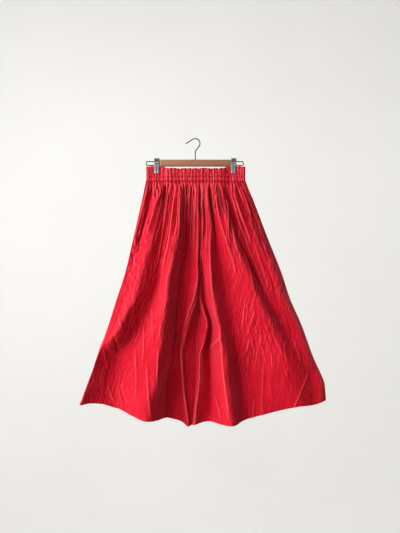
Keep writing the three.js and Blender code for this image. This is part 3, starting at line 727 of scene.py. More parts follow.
def leg_panel(name, node, lines, hem, facing, creases, pressed, tight, patches, seed):
    """One leg panel: its folds, gathers, creases and hem, as a closed wall of cloth."""
    rows, columns = FRONT_GRID if facing < 0 else BACK_GRID
    dice = np.random.default_rng(seed)
    points = panel_surface(lines, hem, rows, columns, tight)
    x, z = points[..., 0].copy(), points[..., 2].copy()
    fall, run = lengths(points, 0), lengths(points, 1)
    to_hem = fall[-1:] - fall
    to_far_edge = run[:, -1:] - run
    inside = smooth(np.minimum(run, to_far_edge), 0, EDGE_FLAT)
    to_seam = run if "seam" in list(lines)[:1] else to_far_edge
    quiet = QUIET_SHARE + (1 - QUIET_SHARE) * smooth(to_seam, *SEAM_QUIET)
    tucked = smooth(fall, 0, TUCKED)
    # The fold lines wander a little, as cloth does.
    points[..., 0] += inside * tucked * (1.5 * np.sin(z / 43 + x / 31) + 0.9 * np.sin(z / 19 - x / 23 + 1))
    points[..., 1] += inside * tucked * (1.6 * np.sin(z / 57 - x / 37 + 2) + 0.8 * np.sin(z / 23 + x / 29))
    points[..., 1] += facing * CLOTH_WALL / 2
    # At the top the panel follows the gathered band, which it is sewn to.
    top_x = np.broadcast_to(x[:1], x.shape)
    height, which = puffs(top_x, facing, 1)
    band_y = band_depth(top_x, facing) + facing * BAND_CLEAR
    points[..., 1] = band_y * (1 - tucked) + points[..., 1] * tucked
    reach = gather_tables[facing][2][which]
    swelling = smooth(fall, *LET_GO) * np.exp(-(np.maximum(fall - 8, 0) / reach) ** 1.5)
    relief = PUFF_HEIGHT * BELOW_BAND * (height - PUFF_MEAN * loose(top_x)) * swelling
    relief += inside * smooth(fall, *CREASES_START) * (
        CREASE_DEPTH * (crease_relief(points, creases + pressed_lines(pressed))
                        + CRINKLE_DEPTH * quiet * crinkle_relief(points, patches, dice))
        + RUMPLE_DEPTH * quiet * rumples(run, fall, dice))
    # The hem is a turned-up strip, a little fuller than the cloth above its stitches.
    above_stitch = to_hem - HEM_STITCH
    pucker = np.sin(run / 2.9 + 3 * np.sin(run / 21)) * np.exp(-(above_stitch / 7) ** 2)
    flutter = np.sin(run / 17 + 2 * np.sin(run / 47)) * np.exp(-to_hem / 26)
    dent = np.exp(-(above_stitch / 1.8) ** 2)
    relief += inside * (HEM_PUCKER * pucker + HEM_FLUTTER * flutter - HEM_DENT * dent)
    points += outward(points, facing) * relief[..., None]
    wall = CLOTH_WALL + (HEM_WALL - CLOTH_WALL) * smooth(-to_hem, -HEM_DEPTH - 1.5, -HEM_DEPTH + 1.5)
    points[0, :, 2] += TOP_HIDDEN
    return cloth_wall(name, node, points, facing, wall, square=(0, -1)), points, to_hem


# Rumpled patches: middle along, middle height, half width, half height, how many small
# creases, how far they lift, how long they are, and how far they lean from the folds.
LEFT_PATCHES = [
    (-206, -370, 34, 90, 60, 1.3, 13, 0.35),
    (-186, -300, 22, 90, 30, 1.1, 14, 0.1),
    (-238, -470, 34, 70, 36, 1.2, 15, -0.25),
    (-215, -520, 60, 260, 90, 0.9, 24, 0.12),
    (-290, -760, 70, 130, 40, 0.7, 22, -0.15),
    (-180, -820, 90, 140, 80, 0.6, 26, 0.05),
    (-110, -560, 60, 330, 90, 0.45, 40, 0.0),
    (-60, -420, 70, 280, 60, 0.4, 36, 0.0),
]
RIGHT_PATCHES = [
    (230, -690, 90, 120, 130, 0.8, 22, 0.05),
    (300, -600, 60, 230, 70, 0.7, 24, 0.1),
    (250, -860, 150, 90, 60, 0.5, 26, -0.1),
    (150, -520, 90, 330, 110, 0.45, 38, 0.0),
    (60, -500, 50, 400, 60, 0.4, 34, 0.0),
]
front_left, left_points, left_to_hem = leg_panel(
    "leg_front_left", "front_left", FRONT_LEFT, FRONT_LEFT_HEM, -1, FRONT_LEFT_CREASES, LEFT_PRESSED,
    (6, 9), LEFT_PATCHES, 3)
front_right, right_points, right_to_hem = leg_panel(
    "leg_front_right", "front_right", FRONT_RIGHT, FRONT_RIGHT_HEM, -1, FRONT_RIGHT_CREASES, RIGHT_PRESSED,
    (0, 2), RIGHT_PATCHES, 4)

# ------------------------------------------------------------------ back legs
# The back legs are cut like the front ones, with a deeper rise, and hang in rounder folds
# where the cloth lies towards what the hanger hangs against.

BACK_LEFT = {
    "side": [(-168, 0), (-181, 0), (-208, 0), (-239, 0), (-265, 0), (-295, 0), (-331, 0), (-366, 0),
        (-389, 0)],
    "roll": [(-130, 3), (-150, 9), (-175, 14), (-200, 16), (-222, 17), (-246, 18), (-274, 19), (-305, 20),
        (-330, 20)],
    "gully": [(-105, 5), (-122, 8), (-140, 10), (-160, 11), (-178, 12), (-198, 12), (-220, 12),
        (-246, 12), (-268, 12)],
    "swell": [(-80, 7.5), (-88, 17), (-100, 26), (-112, 30), (-124, 32), (-140, 34), (-160, 36),
        (-182, 38), (-200, 40)],
    "furrow": [(-50, 7), (-50, 11), (-58, 14), (-66, 15), (-74, 16), (-84, 17), (-98, 17), (-114, 17),
        (-128, 17)],
    "seat": [(-20, 8), (-18, 18), (-20, 28), (-26, 30), (-32, 30), (-40, 30), (-50, 28), (-62, 27),
        (-70, 26)],
    "inseam": [(4, 7.8), (4, 12), (5, 22), (3, 24), (-2, 27), (-6, 29), (-8, 29), (-11, 29), (-23, 26)],
    "seam": [(14.5, 7.5), (14.5, 9), (14.5, 20), (14, 10.4), (11, 12.4), (7.5, 13), (5, 13), (2, 13),
        (-10.8, 8)],
}
BACK_LEFT_HEM = (-902, -905, -920, -935, -946, -960, -971, -975)
BACK_RIGHT = {
    "seam": [(14.5, 7.5), (14.5, 9), (14.5, 20), (14, 10.4), (11, 12.4), (7.5, 13), (5, 13), (2, 13),
        (-10.2, 8)],
    "inseam": [(25, 7.8), (25, 12), (24, 22), (25, 24), (24, 28), (21, 30), (19, 30), (17, 30), (4, 27)],
    "seat": [(48, 8.5), (46, 16), (50, 26), (58, 30), (62, 30), (68, 30), (74, 29), (82, 28), (88, 27)],
    "furrow": [(76, 7), (84, 11), (96, 13), (110, 14), (120, 15), (132, 16), (146, 16), (158, 16),
        (168, 16)],
    "swell": [(104, 6.5), (120, 18), (142, 28), (166, 31), (180, 33), (200, 35), (222, 36), (240, 37),
        (252, 38)],
    "gully": [(128, 3.5), (150, 8), (182, 10), (214, 11), (234, 12), (262, 12), (292, 12), (316, 12),
        (332, 12)],
    "roll": [(148, 3), (174, 9), (214, 14), (258, 17), (284, 18), (320, 19), (354, 20), (388, 20),
        (398, 20)],
    "side": [(171, 0), (197, 0), (242, 0), (294, 0), (320, 0), (361, 0), (398, 0), (440, 0), (444, 0)],
}
BACK_RIGHT_HEM = (-973, -969, -958, -946, -932, -914, -897, -889)
BACK_LEFT_CREASES = [
    (6, (-118, -160), (-130, -230, 2.5), (-146, -310, 2.8), (-158, -400, 1.6), (-170, -470)),
    (7, (-66, -158), (-70, -240, -2.4), (-78, -330, -2.6), (-88, -430)),
    (8, (-36, -158), (-38, -230, 2.6), (-44, -320, 3), (-50, -430, 2), (-60, -540)),
    (5, (-4, -165), (-2, -250, 1.8), (0, -330, 1.5), (2, -400)),
    (5, (-196, -560), (-205, -600, 1.6), (-211, -650)),
    (5, (-180, -600), (-186, -640, -1.5), (-196, -690)),
    (6, (-120, -660), (-112, -700, 1.8), (-110, -760)),
    (5, (-150, -830), (-156, -880, 1.4), (-160, -930)),
    (5, (-260, -780), (-252, -820, 1.5), (-250, -870)),
    (6, (-44, -640), (-46, -720, 1.6), (-52, -800, 1.4), (-58, -880)),
]
BACK_RIGHT_CREASES = [
    (6, (60, -160), (64, -240, -2.4), (72, -330, -2.4), (84, -420)),
    (7, (92, -158), (102, -230, 2.6), (118, -320, 2.8), (136, -420, 1.6), (150, -500)),
    (6, (136, -158), (152, -215, 2.4), (176, -290, 2.4), (196, -370)),
    (5, (30, -165), (30, -240, 1.8), (33, -320, 2), (38, -420)),
    (5, (230, -560), (238, -600, 1.6), (250, -640)),
    (5, (206, -610), (204, -650, -1.6), (210, -700)),
    (5, (268, -640), (280, -680, 1.5), (290, -730)),
    (6, (120, -640), (126, -710, 1.6), (130, -790)),
    (5, (330, -800), (322, -850, 1.5), (318, -900)),
    (5, (96, -780), (92, -850, 1.4), (90, -930)),
]
BACK_LEFT_PRESSED = [
    [(-120, -152), (-124, -190), (-130, -240)],
    [(-96, -150), (-99, -185), (-104, -230), (-110, -280)],
    [(-70, -152), (-72, -190), (-76, -250), (-80, -310)],
    [(-46, -150), (-47, -180), (-49, -230)],
    [(-22, -152), (-22, -200), (-24, -260), (-26, -310)],
    [(11, -158), (11, -220), (11, -330), (10, -430)],
]
BACK_RIGHT_PRESSED = [
    [(18, -158), (18, -220), (18, -330), (18, -430)],
    [(40, -150), (41, -185), (44, -240)],
    [(62, -152), (64, -190), (70, -260), (76, -320)],
    [(88, -150), (92, -190), (98, -240)],
    [(112, -152), (120, -200), (132, -260), (144, -310)],
    [(134, -150), (144, -185), (156, -230)],
]
BACK_LEFT_PATCHES = [
    (-200, -600, 120, 300, 150, 0.7, 26, 0.08),
    (-80, -520, 80, 380, 110, 0.5, 34, 0.0),
    (-150, -860, 140, 90, 60, 0.5, 24, -0.1),
]
BACK_RIGHT_PATCHES = [
    (240, -640, 120, 280, 150, 0.7, 26, -0.08),
    (90, -520, 80, 380, 110, 0.5, 34, 0.0),
    (200, -860, 170, 90, 60, 0.5, 24, 0.1),
]
back_left, back_left_points, back_left_to_hem = leg_panel(
    "leg_back_left", "back_left", BACK_LEFT, BACK_LEFT_HEM, 1, BACK_LEFT_CREASES, BACK_LEFT_PRESSED,
    (6, 7), BACK_LEFT_PATCHES, 5)
back_right, back_right_points, back_right_to_hem = leg_panel(
    "leg_back_right", "back_right", BACK_RIGHT, BACK_RIGHT_HEM, 1, BACK_RIGHT_CREASES,
    BACK_RIGHT_PRESSED, (0, 1), BACK_RIGHT_PATCHES, 6)

# ------------------------------------------------------------------ waistband
# The waistband is a casing of the same cloth, folded over a wide elastic and gathered on it,
# with two rows of stitches below the elastic and a small frill left standing above it.

BAND_WALL = 2.6
STITCHED_WALL = 2.0
THINNEST_WALL = 1.2
JAW_TOP, JAW_BOTTOM = -120, -132  # the clips' jaws let go of the casing between these heights
FRILL_DEEP, FRILL_WAVE, FRILL_RISE, FRILL_THINNED = 9, 0.8, 1.2, 0.9
BAND_SWELL, STITCHED_IN, BAND_LEAN = 0.9, 0.15, 2.4
BAND_ROWS, BAND_COLUMNS, QUICK_BAND = 34, 560, (16, 250)
BAND_PATCHES = [(2, -112, 220, 16, 190, 1.3, 8, 0.0), (2, -139, 220, 8, 110, 1.0, 6, 0.0)]


def waistband(name, node, facing):
    """The front or back half of the gathered casing."""
    rows, columns = ((BAND_ROWS, BAND_COLUMNS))
    x = np.linspace(BAND_LEFT, BAND_RIGHT, columns)[None, :]
    share = np.linspace(0, 1, rows)[:, None]
    top = BAND_TOP - BAND_SAG[facing] * away_from_clips(x)
    z = top + (BAND_BOTTOM - top) * share
    above = z - UPPER_STITCH
    pinch = 0.6 * np.exp(-(above / 3.2) ** 2) + np.exp(-((z - LOWER_STITCH) / 2.4) ** 2)
    pinched = np.minimum(pinch, 1)
    lean = BAND_LEAN * np.sin(x / 19 + 1.3 * facing) * above / 30
    freed = 1 - smooth(z, JAW_BOTTOM, JAW_TOP)
    height, _ = puffs(np.clip(x + lean, BAND_LEFT, BAND_RIGHT), facing, freed)
    frill = smooth(z, top - FRILL_DEEP, top)
    swell = np.sin(np.pi * np.clip(above / (top - UPPER_STITCH), 0, 1))
    swell = swell + 0.6 * np.sin(np.pi * np.clip(-above / (UPPER_STITCH - BAND_BOTTOM), 0, 1))
    flat = np.maximum(loose(x), freed) * inside_ends(x)
    relief = PUFF_HEIGHT * height * (1 - 0.4 * pinched)
    relief += flat * (BAND_SWELL * swell - STITCHED_IN * pinch)
    relief += flat * frill * FRILL_WAVE * np.sin(x / 3.1 + 2 * np.sin(x / 13))
    relief = relief + flat * (1 - 0.7 * pinched) * crinkle_relief(
        np.stack(np.broadcast_arrays(x, 0, z), axis=-1), BAND_PATCHES, np.random.default_rng(60 + facing))
    y = band_depth(x, facing) + facing * relief
    z = z + flat * frill * FRILL_RISE * np.sin(x / 4.3 + 2.2 * np.sin(x / 17 + 1))
    points = np.stack(np.broadcast_arrays(x, y, z), axis=-1)
    wall = BAND_WALL + (STITCHED_WALL - BAND_WALL) * pinched - FRILL_THINNED * frill
    wall = np.maximum(wall, THINNEST_WALL)
    return cloth_wall(name, node, points, facing, wall, square=(0, -1)), points


band_front, band_front_points = waistband("waistband_casing_front", "waistband_front", -1)
band_back, band_back_points = waistband("waistband_casing_back", "waistband_back", 1)

# ------------------------------------------------------------------ pocket edges
# The mouth of each side pocket is turned back twice and stitched down. The turned strip
# lies on the front leg beside the seam, and gapes a little where hands have pulled it.

EDGE_WALL = 1.2
EDGE_WIDTH = 12
EDGE_COLUMNS = 11
EDGE_STITCH = 3.5  # from the mouth's own edge, on the side towards the front
EDGE_CLEAR = 0.45
MOUTH_ENDS = (-214, -388)
MOUTH_INSETS = (11, 21)  # how far from the side seam the strip's middle lies at its two ends
GAPE, GAPE_UNEVEN, GAPE_SMALL, RAGGED = 2.4, 1.1, 0.8, 0.25


def pocket_edge(name, node, points, side):
    """The turned strip along one pocket's mouth, following the panel under it from its side column."""
    beside = points[:, side, 2]
    points = points[(beside < MOUTH_ENDS[0]) & (beside > MOUTH_ENDS[1])]
    if side:
        points = points[:, ::-1]
    run = lengths(points, 1)
    share = np.linspace(0, 1, len(points))
    inset = MOUTH_INSETS[0] + (MOUTH_INSETS[1] - MOUTH_INSETS[0]) * share
    columns = np.linspace(-0.5, 0.5, EDGE_COLUMNS)
    strip = np.array([[np.interp(middle + EDGE_WIDTH * columns, run[row], points[row, :, axis])
                       for row, middle in enumerate(inset)] for axis in (0, 1, 2)]).transpose(1, 2, 0)
    if side:
        strip = strip[:, ::-1]
        columns = columns[::-1]
    tug = 12 * share + (2 if side else 0)
    gape = smooth(columns, -0.1, 0.5) * np.sin(np.pi * share)[:, None] * (
        GAPE + GAPE_UNEVEN * np.sin(1.9 * tug) + GAPE_SMALL * np.sin(4.3 * tug + 1))[:, None]
    ragged = RAGGED * np.sin(5.1 * tug)[:, None] * np.cos(7 * columns)
    lift = CLOTH_WALL / 2 + EDGE_WALL / 2 + EDGE_CLEAR + np.maximum(gape + ragged, 0)
    strip = strip + outward(strip, -1) * lift[..., None]
    return cloth_wall(name, node, strip, -1, EDGE_WALL), strip


mouth_left, left_strip = pocket_edge("pocket_mouth_left", "pocket_edge_left", left_points, 0)
mouth_right, right_strip = pocket_edge("pocket_mouth_right", "pocket_edge_right", right_points, -1)

# ------------------------------------------------------------------ stitches
# Polyester thread dyed to match: one row round each leg's hem, two rows that hold the
# elastic in the waistband, and one row down each pocket's mouth.

THREAD = 0.42
STITCH_LONG = 2.5
STITCH_STEP = 3.3
BAND_STITCH_STEP = 2.9
STITCH_TIP = 0.35 * THREAD
STITCH_SWELLS = ((0.22, 2.6), (0.56, 1.0), (0.22, 0.38))  # share of its length, then its widening
STITCH_OUT = 0.25  # how far out of the cloth, in threads, a stitch's middle lies
THREAD_DYES = ((0.62, 0.020, 0.045, 1), (0.88, 0.085, 0.12, 1))

bpy.ops.mesh.primitive_circle_add(vertices=6, radius=STITCH_TIP, fill_type="NGON")
one_stitch = bpy.context.object
bpy.ops.object.mode_set(mode="EDIT")
for forward, spread in STITCH_SWELLS:
    extrude(0, 0, forward * STITCH_LONG)
    bpy.ops.transform.resize(value=(spread, spread, 1))
bpy.ops.mesh.select_all(action="SELECT")
bpy.ops.transform.translate(value=(0, 0, -STITCH_LONG / 2))
bpy.ops.mesh.normals_make_consistent(inside=False)
bpy.ops.object.mode_set(mode="OBJECT")
stitch_points = np.array([vertex.co for vertex in one_stitch.data.vertices])
stitch_faces = [list(face.vertices) for face in one_stitch.data.polygons]
bpy.data.objects.remove(one_stitch)


def red_thread():
    """Twisted polyester thread, a little brighter and glossier than the cloth."""
    material, tree, shader = new_material("red thread")
    place = add_node(tree, "TexCoord").outputs["Object"]
    twist = add_node(tree, "TexWave", {"bands_direction": "DIAGONAL"}, Vector=place, Scale=1400.0,
                     Distortion=0.6).outputs["Fac"]
    lint = maths(tree, "MULTIPLY", twist, noise(tree, place, Scale=420.0, Detail=2.0))
    turns = bumped(tree, twist, Strength=0.6, Distance=0.0001)
    feed(tree, shader, Base_Color=blend(tree, lint, *THREAD_DYES), Normal=turns, Roughness=0.55,
         Sheen_Weight=0.3)
    return material


thread = red_thread()


def stitch_line(grid, at_row, facing, wall):
    """Where a row of stitches runs on the outside of a grid of cloth, and the way out of the cloth."""
    normal = outward(grid, facing)
    outer = grid + normal * (wall / 2 + STITCH_OUT * THREAD)
    column = np.arange(grid.shape[1])
    above = np.clip(np.floor(at_row).astype(int), 0, len(grid) - 2)
    share = (at_row - above)[:, None]
    return (outer[above, column] * (1 - share) + outer[above + 1, column] * share, normal[above, column])


def sew(name, lines, step):
    """Stitches a step apart along each line, joined into one piece of thread work."""
    places, faces = [], []
    for line, normal in lines:
        run = np.concatenate([[0], np.cumsum(np.linalg.norm(np.diff(line, axis=0), axis=1))])
        at = np.arange(step, run[-1] - step, step)
        middle, before, after, up = (
            np.stack([np.interp(where, run, source[:, axis]) for axis in range(3)], axis=-1)
            for where, source in ((at, line), (at - step / 3, line), (at + step / 3, line), (at, normal)))
        ahead = after - before
        ahead /= np.linalg.norm(ahead, axis=1, keepdims=True)
        aside = np.cross(up, ahead)
        aside /= np.linalg.norm(aside, axis=1, keepdims=True)
        frames = np.stack([aside, np.cross(ahead, aside), ahead], axis=1)
        for each in middle[:, None, :] + np.einsum("vk,nkc->nvc", stitch_points, frames):
            start = len(places) * len(stitch_points)
            places.append(each)
            faces += [[start + corner for corner in face] for face in stitch_faces]
    piece = smooth_piece(name, np.concatenate(places), faces)
    piece.data.materials.append(thread)
    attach(piece, "root")
    return piece


def row_at(values, wanted):
    """For each column of values, which fall down the rows, the row where they reach wanted."""
    return np.array([np.interp(-wanted, -column, np.arange(len(column))) for column in values.T])


hem_stitches = {
    leg.name: sew(leg.name + "_hem_stitches",
                  [stitch_line(points, row_at(to_hem, HEM_STITCH), facing, HEM_WALL)], STITCH_STEP)
    for leg, points, to_hem, facing in (
        (front_left, left_points, left_to_hem, -1), (front_right, right_points, right_to_hem, -1),
        (back_left, back_left_points, back_left_to_hem, 1),
        (back_right, back_right_points, back_right_to_hem, 1))
}
band_stitches = {
    facing: sew(name, [stitch_line(grid, row_at(grid[..., 2], height), facing, STITCHED_WALL)
                       for height in (UPPER_STITCH, LOWER_STITCH)], BAND_STITCH_STEP)
    for name, grid, facing in (("band_stitches_front", band_front_points, -1),
                               ("band_stitches_back", band_back_points, 1))
}
for mouth, strip, turned in ((mouth_left, left_strip, -1), (mouth_right, right_strip, 1)):
    strip = strip.transpose(1, 0, 2)[::turned]
    at = np.full(strip.shape[1], EDGE_STITCH / EDGE_WIDTH * (EDGE_COLUMNS - 1))
    line, normal = stitch_line(strip, at, -1, EDGE_WALL)
    normal *= np.where(normal[:, 1:2] > 0, -1, 1)
    sew(mouth.name + "_stitches", [(line, normal)], STITCH_STEP)

# ------------------------------------------------------------------ hanger's bar
# A flat slat of pale varnished hardwood with rounded edges, drilled from above for the
# hook's stem and from both ends for the wire loops that carry the clips.

BAR_HALF, BAR_TOP, BAR_BOTTOM, BAR_DEPTH = 0.120, -0.072, -0.095, 0.012
BAR_ROUND = 0.0035
STEM_HOLE, LOOP_HOLE, HOLE_SPARE = 0.0020, 0.00185, 0.001
LOOP_LEGS = (-0.0785, -0.091)
LOOP_INSIDE = 0.014
STEM_FOOT = -0.085
WOOD_TONES = ((0.36, 0.185, 0.098, 1), (0.52, 0.295, 0.172, 1))
GRAIN, PORES = (7, 150, 260), (60, 1400, 1400)  # how fine each is along, through and up the bar


def just_added(name):
    """The object that was added last, with its name and with its place and turn in its points."""
    new = bpy.context.object
    new.name = name
    bpy.ops.object.transform_apply(location=True, rotation=True, scale=True)
    return new


bpy.ops.mesh.primitive_cube_add(size=1, location=(0, 0, (BAR_TOP + BAR_BOTTOM) / 2),
                                scale=(2 * BAR_HALF, BAR_DEPTH, BAR_TOP - BAR_BOTTOM))
bar = just_added("wooden_bar")
edit()
bpy.ops.mesh.bevel(offset=BAR_ROUND, segments=5, profile=0.5)
bpy.ops.object.mode_set(mode="OBJECT")
DRILLED = [  # radius, depth of the hole, its mouth, its turn about Y
    (STEM_HOLE, BAR_TOP - STEM_FOOT + HOLE_SPARE, (0, 0, BAR_TOP), 0),
    *[(LOOP_HOLE, LOOP_INSIDE + HOLE_SPARE, (end * BAR_HALF, 0, leg), math.radians(90))
      for end in (-1, 1) for leg in LOOP_LEGS],
]
for radius, deep, mouth, turn in DRILLED:
    bpy.ops.mesh.primitive_cylinder_add(vertices=24, radius=radius, depth=2 * deep, location=mouth,
                                        rotation=(0, turn, 0))
    drill = bpy.context.object
    hole = bar.modifiers.new("hole", "BOOLEAN")
    hole.object = drill
    hole.operation = "DIFFERENCE"
    bpy.context.view_layer.objects.active = bar
    bpy.ops.object.modifier_apply(modifier=hole.name)
    bpy.data.objects.remove(drill)
bpy.ops.object.select_all(action="DESELECT")
bar.select_set(True)
bpy.ops.object.shade_smooth_by_angle(angle=math.radians(35))

varnished, tree, shader = new_material("varnished hardwood")
place = add_node(tree, "TexCoord").outputs["Object"]
along_grain = stretched(tree, place, GRAIN)
figure = noise(tree, along_grain, Scale=1.0, Detail=5.0, Distortion=1.2)
pores = noise(tree, stretched(tree, place, PORES), Scale=1.0, Detail=2.0)
rings = add_node(tree, "TexWave", {"bands_direction": "Z"}, Vector=along_grain, Scale=0.37, Distortion=5.0,
                 Detail=3.0).outputs["Fac"]
streak = maths(tree, "MULTIPLY_ADD", pores, 0.4, maths(tree, "MULTIPLY_ADD", rings, 0.2, figure))
timber = blend(tree, ranged(tree, streak, From_Min=0.5, From_Max=1.1), *WOOD_TONES)
sunk = bumped(tree, pores, Strength=0.35, Distance=0.0002)
dulled = ranged(tree, figure, To_Min=0.34, To_Max=0.52)
feed(tree, shader, Base_Color=timber, Normal=sunk, Roughness=dulled, Coat_Weight=0.25, Coat_Roughness=0.25)
bar.data.materials.append(varnished)
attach(bar, "root")
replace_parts(bar, "hanger_bar")

# ------------------------------------------------------------------ hook and wire loops
# Bright plated steel wire. The hook's stem is pushed into the bar, bent aside and rolled
# over; each end of the bar has a square loop of wire along which a clip slides.

DRAWN_SCRATCHES = (2600, 2600, 240)


def plated_steel(name, low_roughness, high_roughness, tint):
    """Nickel-plated steel: fine drawn scratches, cloudy patches and duller scuffed places."""
    material, tree, shader = new_material(name)
    place = add_node(tree, "TexCoord").outputs["Object"]
    clouds = noise(tree, place, Scale=260.0, Detail=4.0)
    scratches = noise(tree, stretched(tree, place, DRAWN_SCRATCHES), Scale=1.0, Detail=2.0)
    shade = ranged(tree, clouds, From_Min=0.3)
    tone = blend(tree, shade, tuple(0.9 * part for part in tint) + (1,), (*tint, 1))
    dull = ranged(tree, maths(tree, "MULTIPLY", clouds, scratches), From_Min=0.12, From_Max=0.4,
                  To_Min=low_roughness, To_Max=high_roughness)
    scratched = bumped(tree, scratches, Strength=0.12, Distance=0.0001)
    feed(tree, shader, Base_Color=tone, Roughness=dull, Normal=scratched, Metallic=1.0)
    return material


wire_steel = plated_steel("plated wire", 0.2, 0.4, (0.07, 0.07, 0.08))

HOOK_WIRE = 0.0016
LOOP_WIRE = 0.0015
HOOK_BENDS = [  # what is done to the wire, how far or how round, and how many degrees to the left
    ("run", 0.0400, 0), ("bend", 0.0060, -38), ("run", 0.0185, 0), ("bend", 0.0164, 160), ("run", 0.0270, 0),
]
WIRE_TIP = ((0.45, 0.88), (0.35, 0.68), (0.15, 0.45))  # a step in thicknesses, then its narrowing
BEND_STEP = 9  # degrees
WELD = 1e-6


def steel_piece(piece, steel, sharp):
    """Shade a piece smooth below so many degrees, and hand it over as steel."""
    bpy.ops.object.mode_set(mode="OBJECT")
    bpy.ops.object.shade_smooth_by_angle(angle=math.radians(sharp))
    piece.data.materials.append(steel)
    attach(piece, "root")
    return piece


def close_up():
    """Join the points that meet, cap the open ends and turn every face outwards."""
    bpy.ops.mesh.select_all(action="SELECT")
    bpy.ops.mesh.remove_doubles(threshold=WELD)
    bpy.ops.mesh.fill_holes(sides=0)
    bpy.ops.mesh.normals_make_consistent(inside=False)


def bent_wire(name, foot, heading, thickness, bends, tipped):
    """A round wire drawn from its foot in the plane of the bar; degrees count to the left as it runs."""
    bpy.ops.mesh.primitive_circle_add(vertices=14, radius=thickness, location=foot,
                                      rotation=(0, math.radians(90 - heading), 0))
    wire = just_added(name)
    at = np.array(foot, dtype=float)
    angle = math.radians(heading)
    edit()
    for kind, size, turn in bends:
        forward = np.array((math.cos(angle), 0, math.sin(angle)))
        if kind == "run":
            extrude(*(size * forward))
            at = at + size * forward
            continue
        left = np.array((-math.sin(angle), 0, math.cos(angle)))
        centre = at + math.copysign(size, turn) * left
        bpy.ops.mesh.spin(steps=max(3, round(abs(turn) / BEND_STEP)), angle=math.radians(turn),
                          center=tuple(centre), axis=(0, 1, 0))
        angle += math.radians(turn)
        left = np.array((-math.sin(angle), 0, math.cos(angle)))
        at = centre - math.copysign(size, turn) * left
    if tipped:
        forward = np.array((math.cos(angle), 0, math.sin(angle)))
        for step, narrow in WIRE_TIP:
            extrude(*(step * thickness * forward))
            at = at + step * thickness * forward
            bpy.ops.transform.resize(value=(narrow, narrow, narrow), center_override=tuple(at))
    close_up()
    return steel_piece(wire, wire_steel, 50)


hook = bent_wire("wire_hook", (0, 0, STEM_FOOT), 90, HOOK_WIRE, HOOK_BENDS, True)
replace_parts(hook, "hanger_hook")

LOOP_CORNER = 0.003
for side, outwards, end in (("left", -1, 0.1665), ("right", 1, 0.163)):
    reach = end - (BAR_HALF - LOOP_INSIDE) - LOOP_CORNER
    drop = LOOP_LEGS[0] - LOOP_LEGS[1] - 2 * LOOP_CORNER
    bends = [("run", reach, 0), ("bend", LOOP_CORNER, -90 * outwards), ("run", drop, 0),
             ("bend", LOOP_CORNER, -90 * outwards), ("run", reach, 0)]
    loop = bent_wire("wire_loop_" + side, (outwards * (BAR_HALF - LOOP_INSIDE), 0, LOOP_LEGS[0]),
                     0 if outwards > 0 else 180, LOOP_WIRE, bends, False)
    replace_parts(loop, "hanger_loop_" + side)

# ------------------------------------------------------------------ clips
# Each clip is two plates pressed from plated steel strip, with a stiffening rib and two
# ears that close round a coiled spring, and a pin through the ears and the spring.

CLIP_HALF = CLIP_WIDTH / 2 * MM
PLATE_WALL = 0.0012
PLATE_LINE = [  # depth of the plate's inner face and height, from the finger tab to the jaw's lip
    (0.0084, -0.068), (0.0062, -0.075), (0.0048, -0.0795), (0.0048, -0.090), (0.00325, -0.097),
    (0.00325, -0.1075), (0.00325, -0.1172), (0.00425, -0.119),
]
RIB_LIFT = 0.0010
RIB_TOP, RIB_BOTTOM = -0.0965, -0.1177
RIB_HALVES = (0.001, 0.005)  # from the middle to the groove's side, and to the raised panel's side
WINDOW_RIM = 0.0012
EAR_TOP, EAR_BOTTOM, EAR_REACH, EAR_TAPER = -0.0795, -0.090, 0.0036, 0.6
LIP_CORNER = 0.0022
EASED_EDGE = 0.0003
HAIR = 1e-5  # points this close to a line are on it
SPRING_RADIUS, SPRING_LONG, SPRING_WIRE, SPRING_TURNS = 0.0044, 0.0155, 0.00072, 10
SPRING_HEIGHT = sum(LOOP_LEGS) / 2
PIN_RADIUS, PIN_HALF, PIN_SHOULDER = 0.0011, 0.0098, 0.0002
HEAD_SPREAD, HEAD_ROUND = 1.7, 0.0004

clip_steel = plated_steel("plated strip", 0.2, 0.38, (0.46, 0.46, 0.47))


def apply_bevel(piece, name, width, segments, limit=30):
    """Round the edges that are sharper than the limit, in degrees."""
    rounded = piece.modifiers.new(name, "BEVEL")
    rounded.width = width
    rounded.segments = segments
    rounded.limit_method = "ANGLE"
    rounded.angle_limit = math.radians(limit)
    bpy.ops.object.modifier_apply(modifier=name)


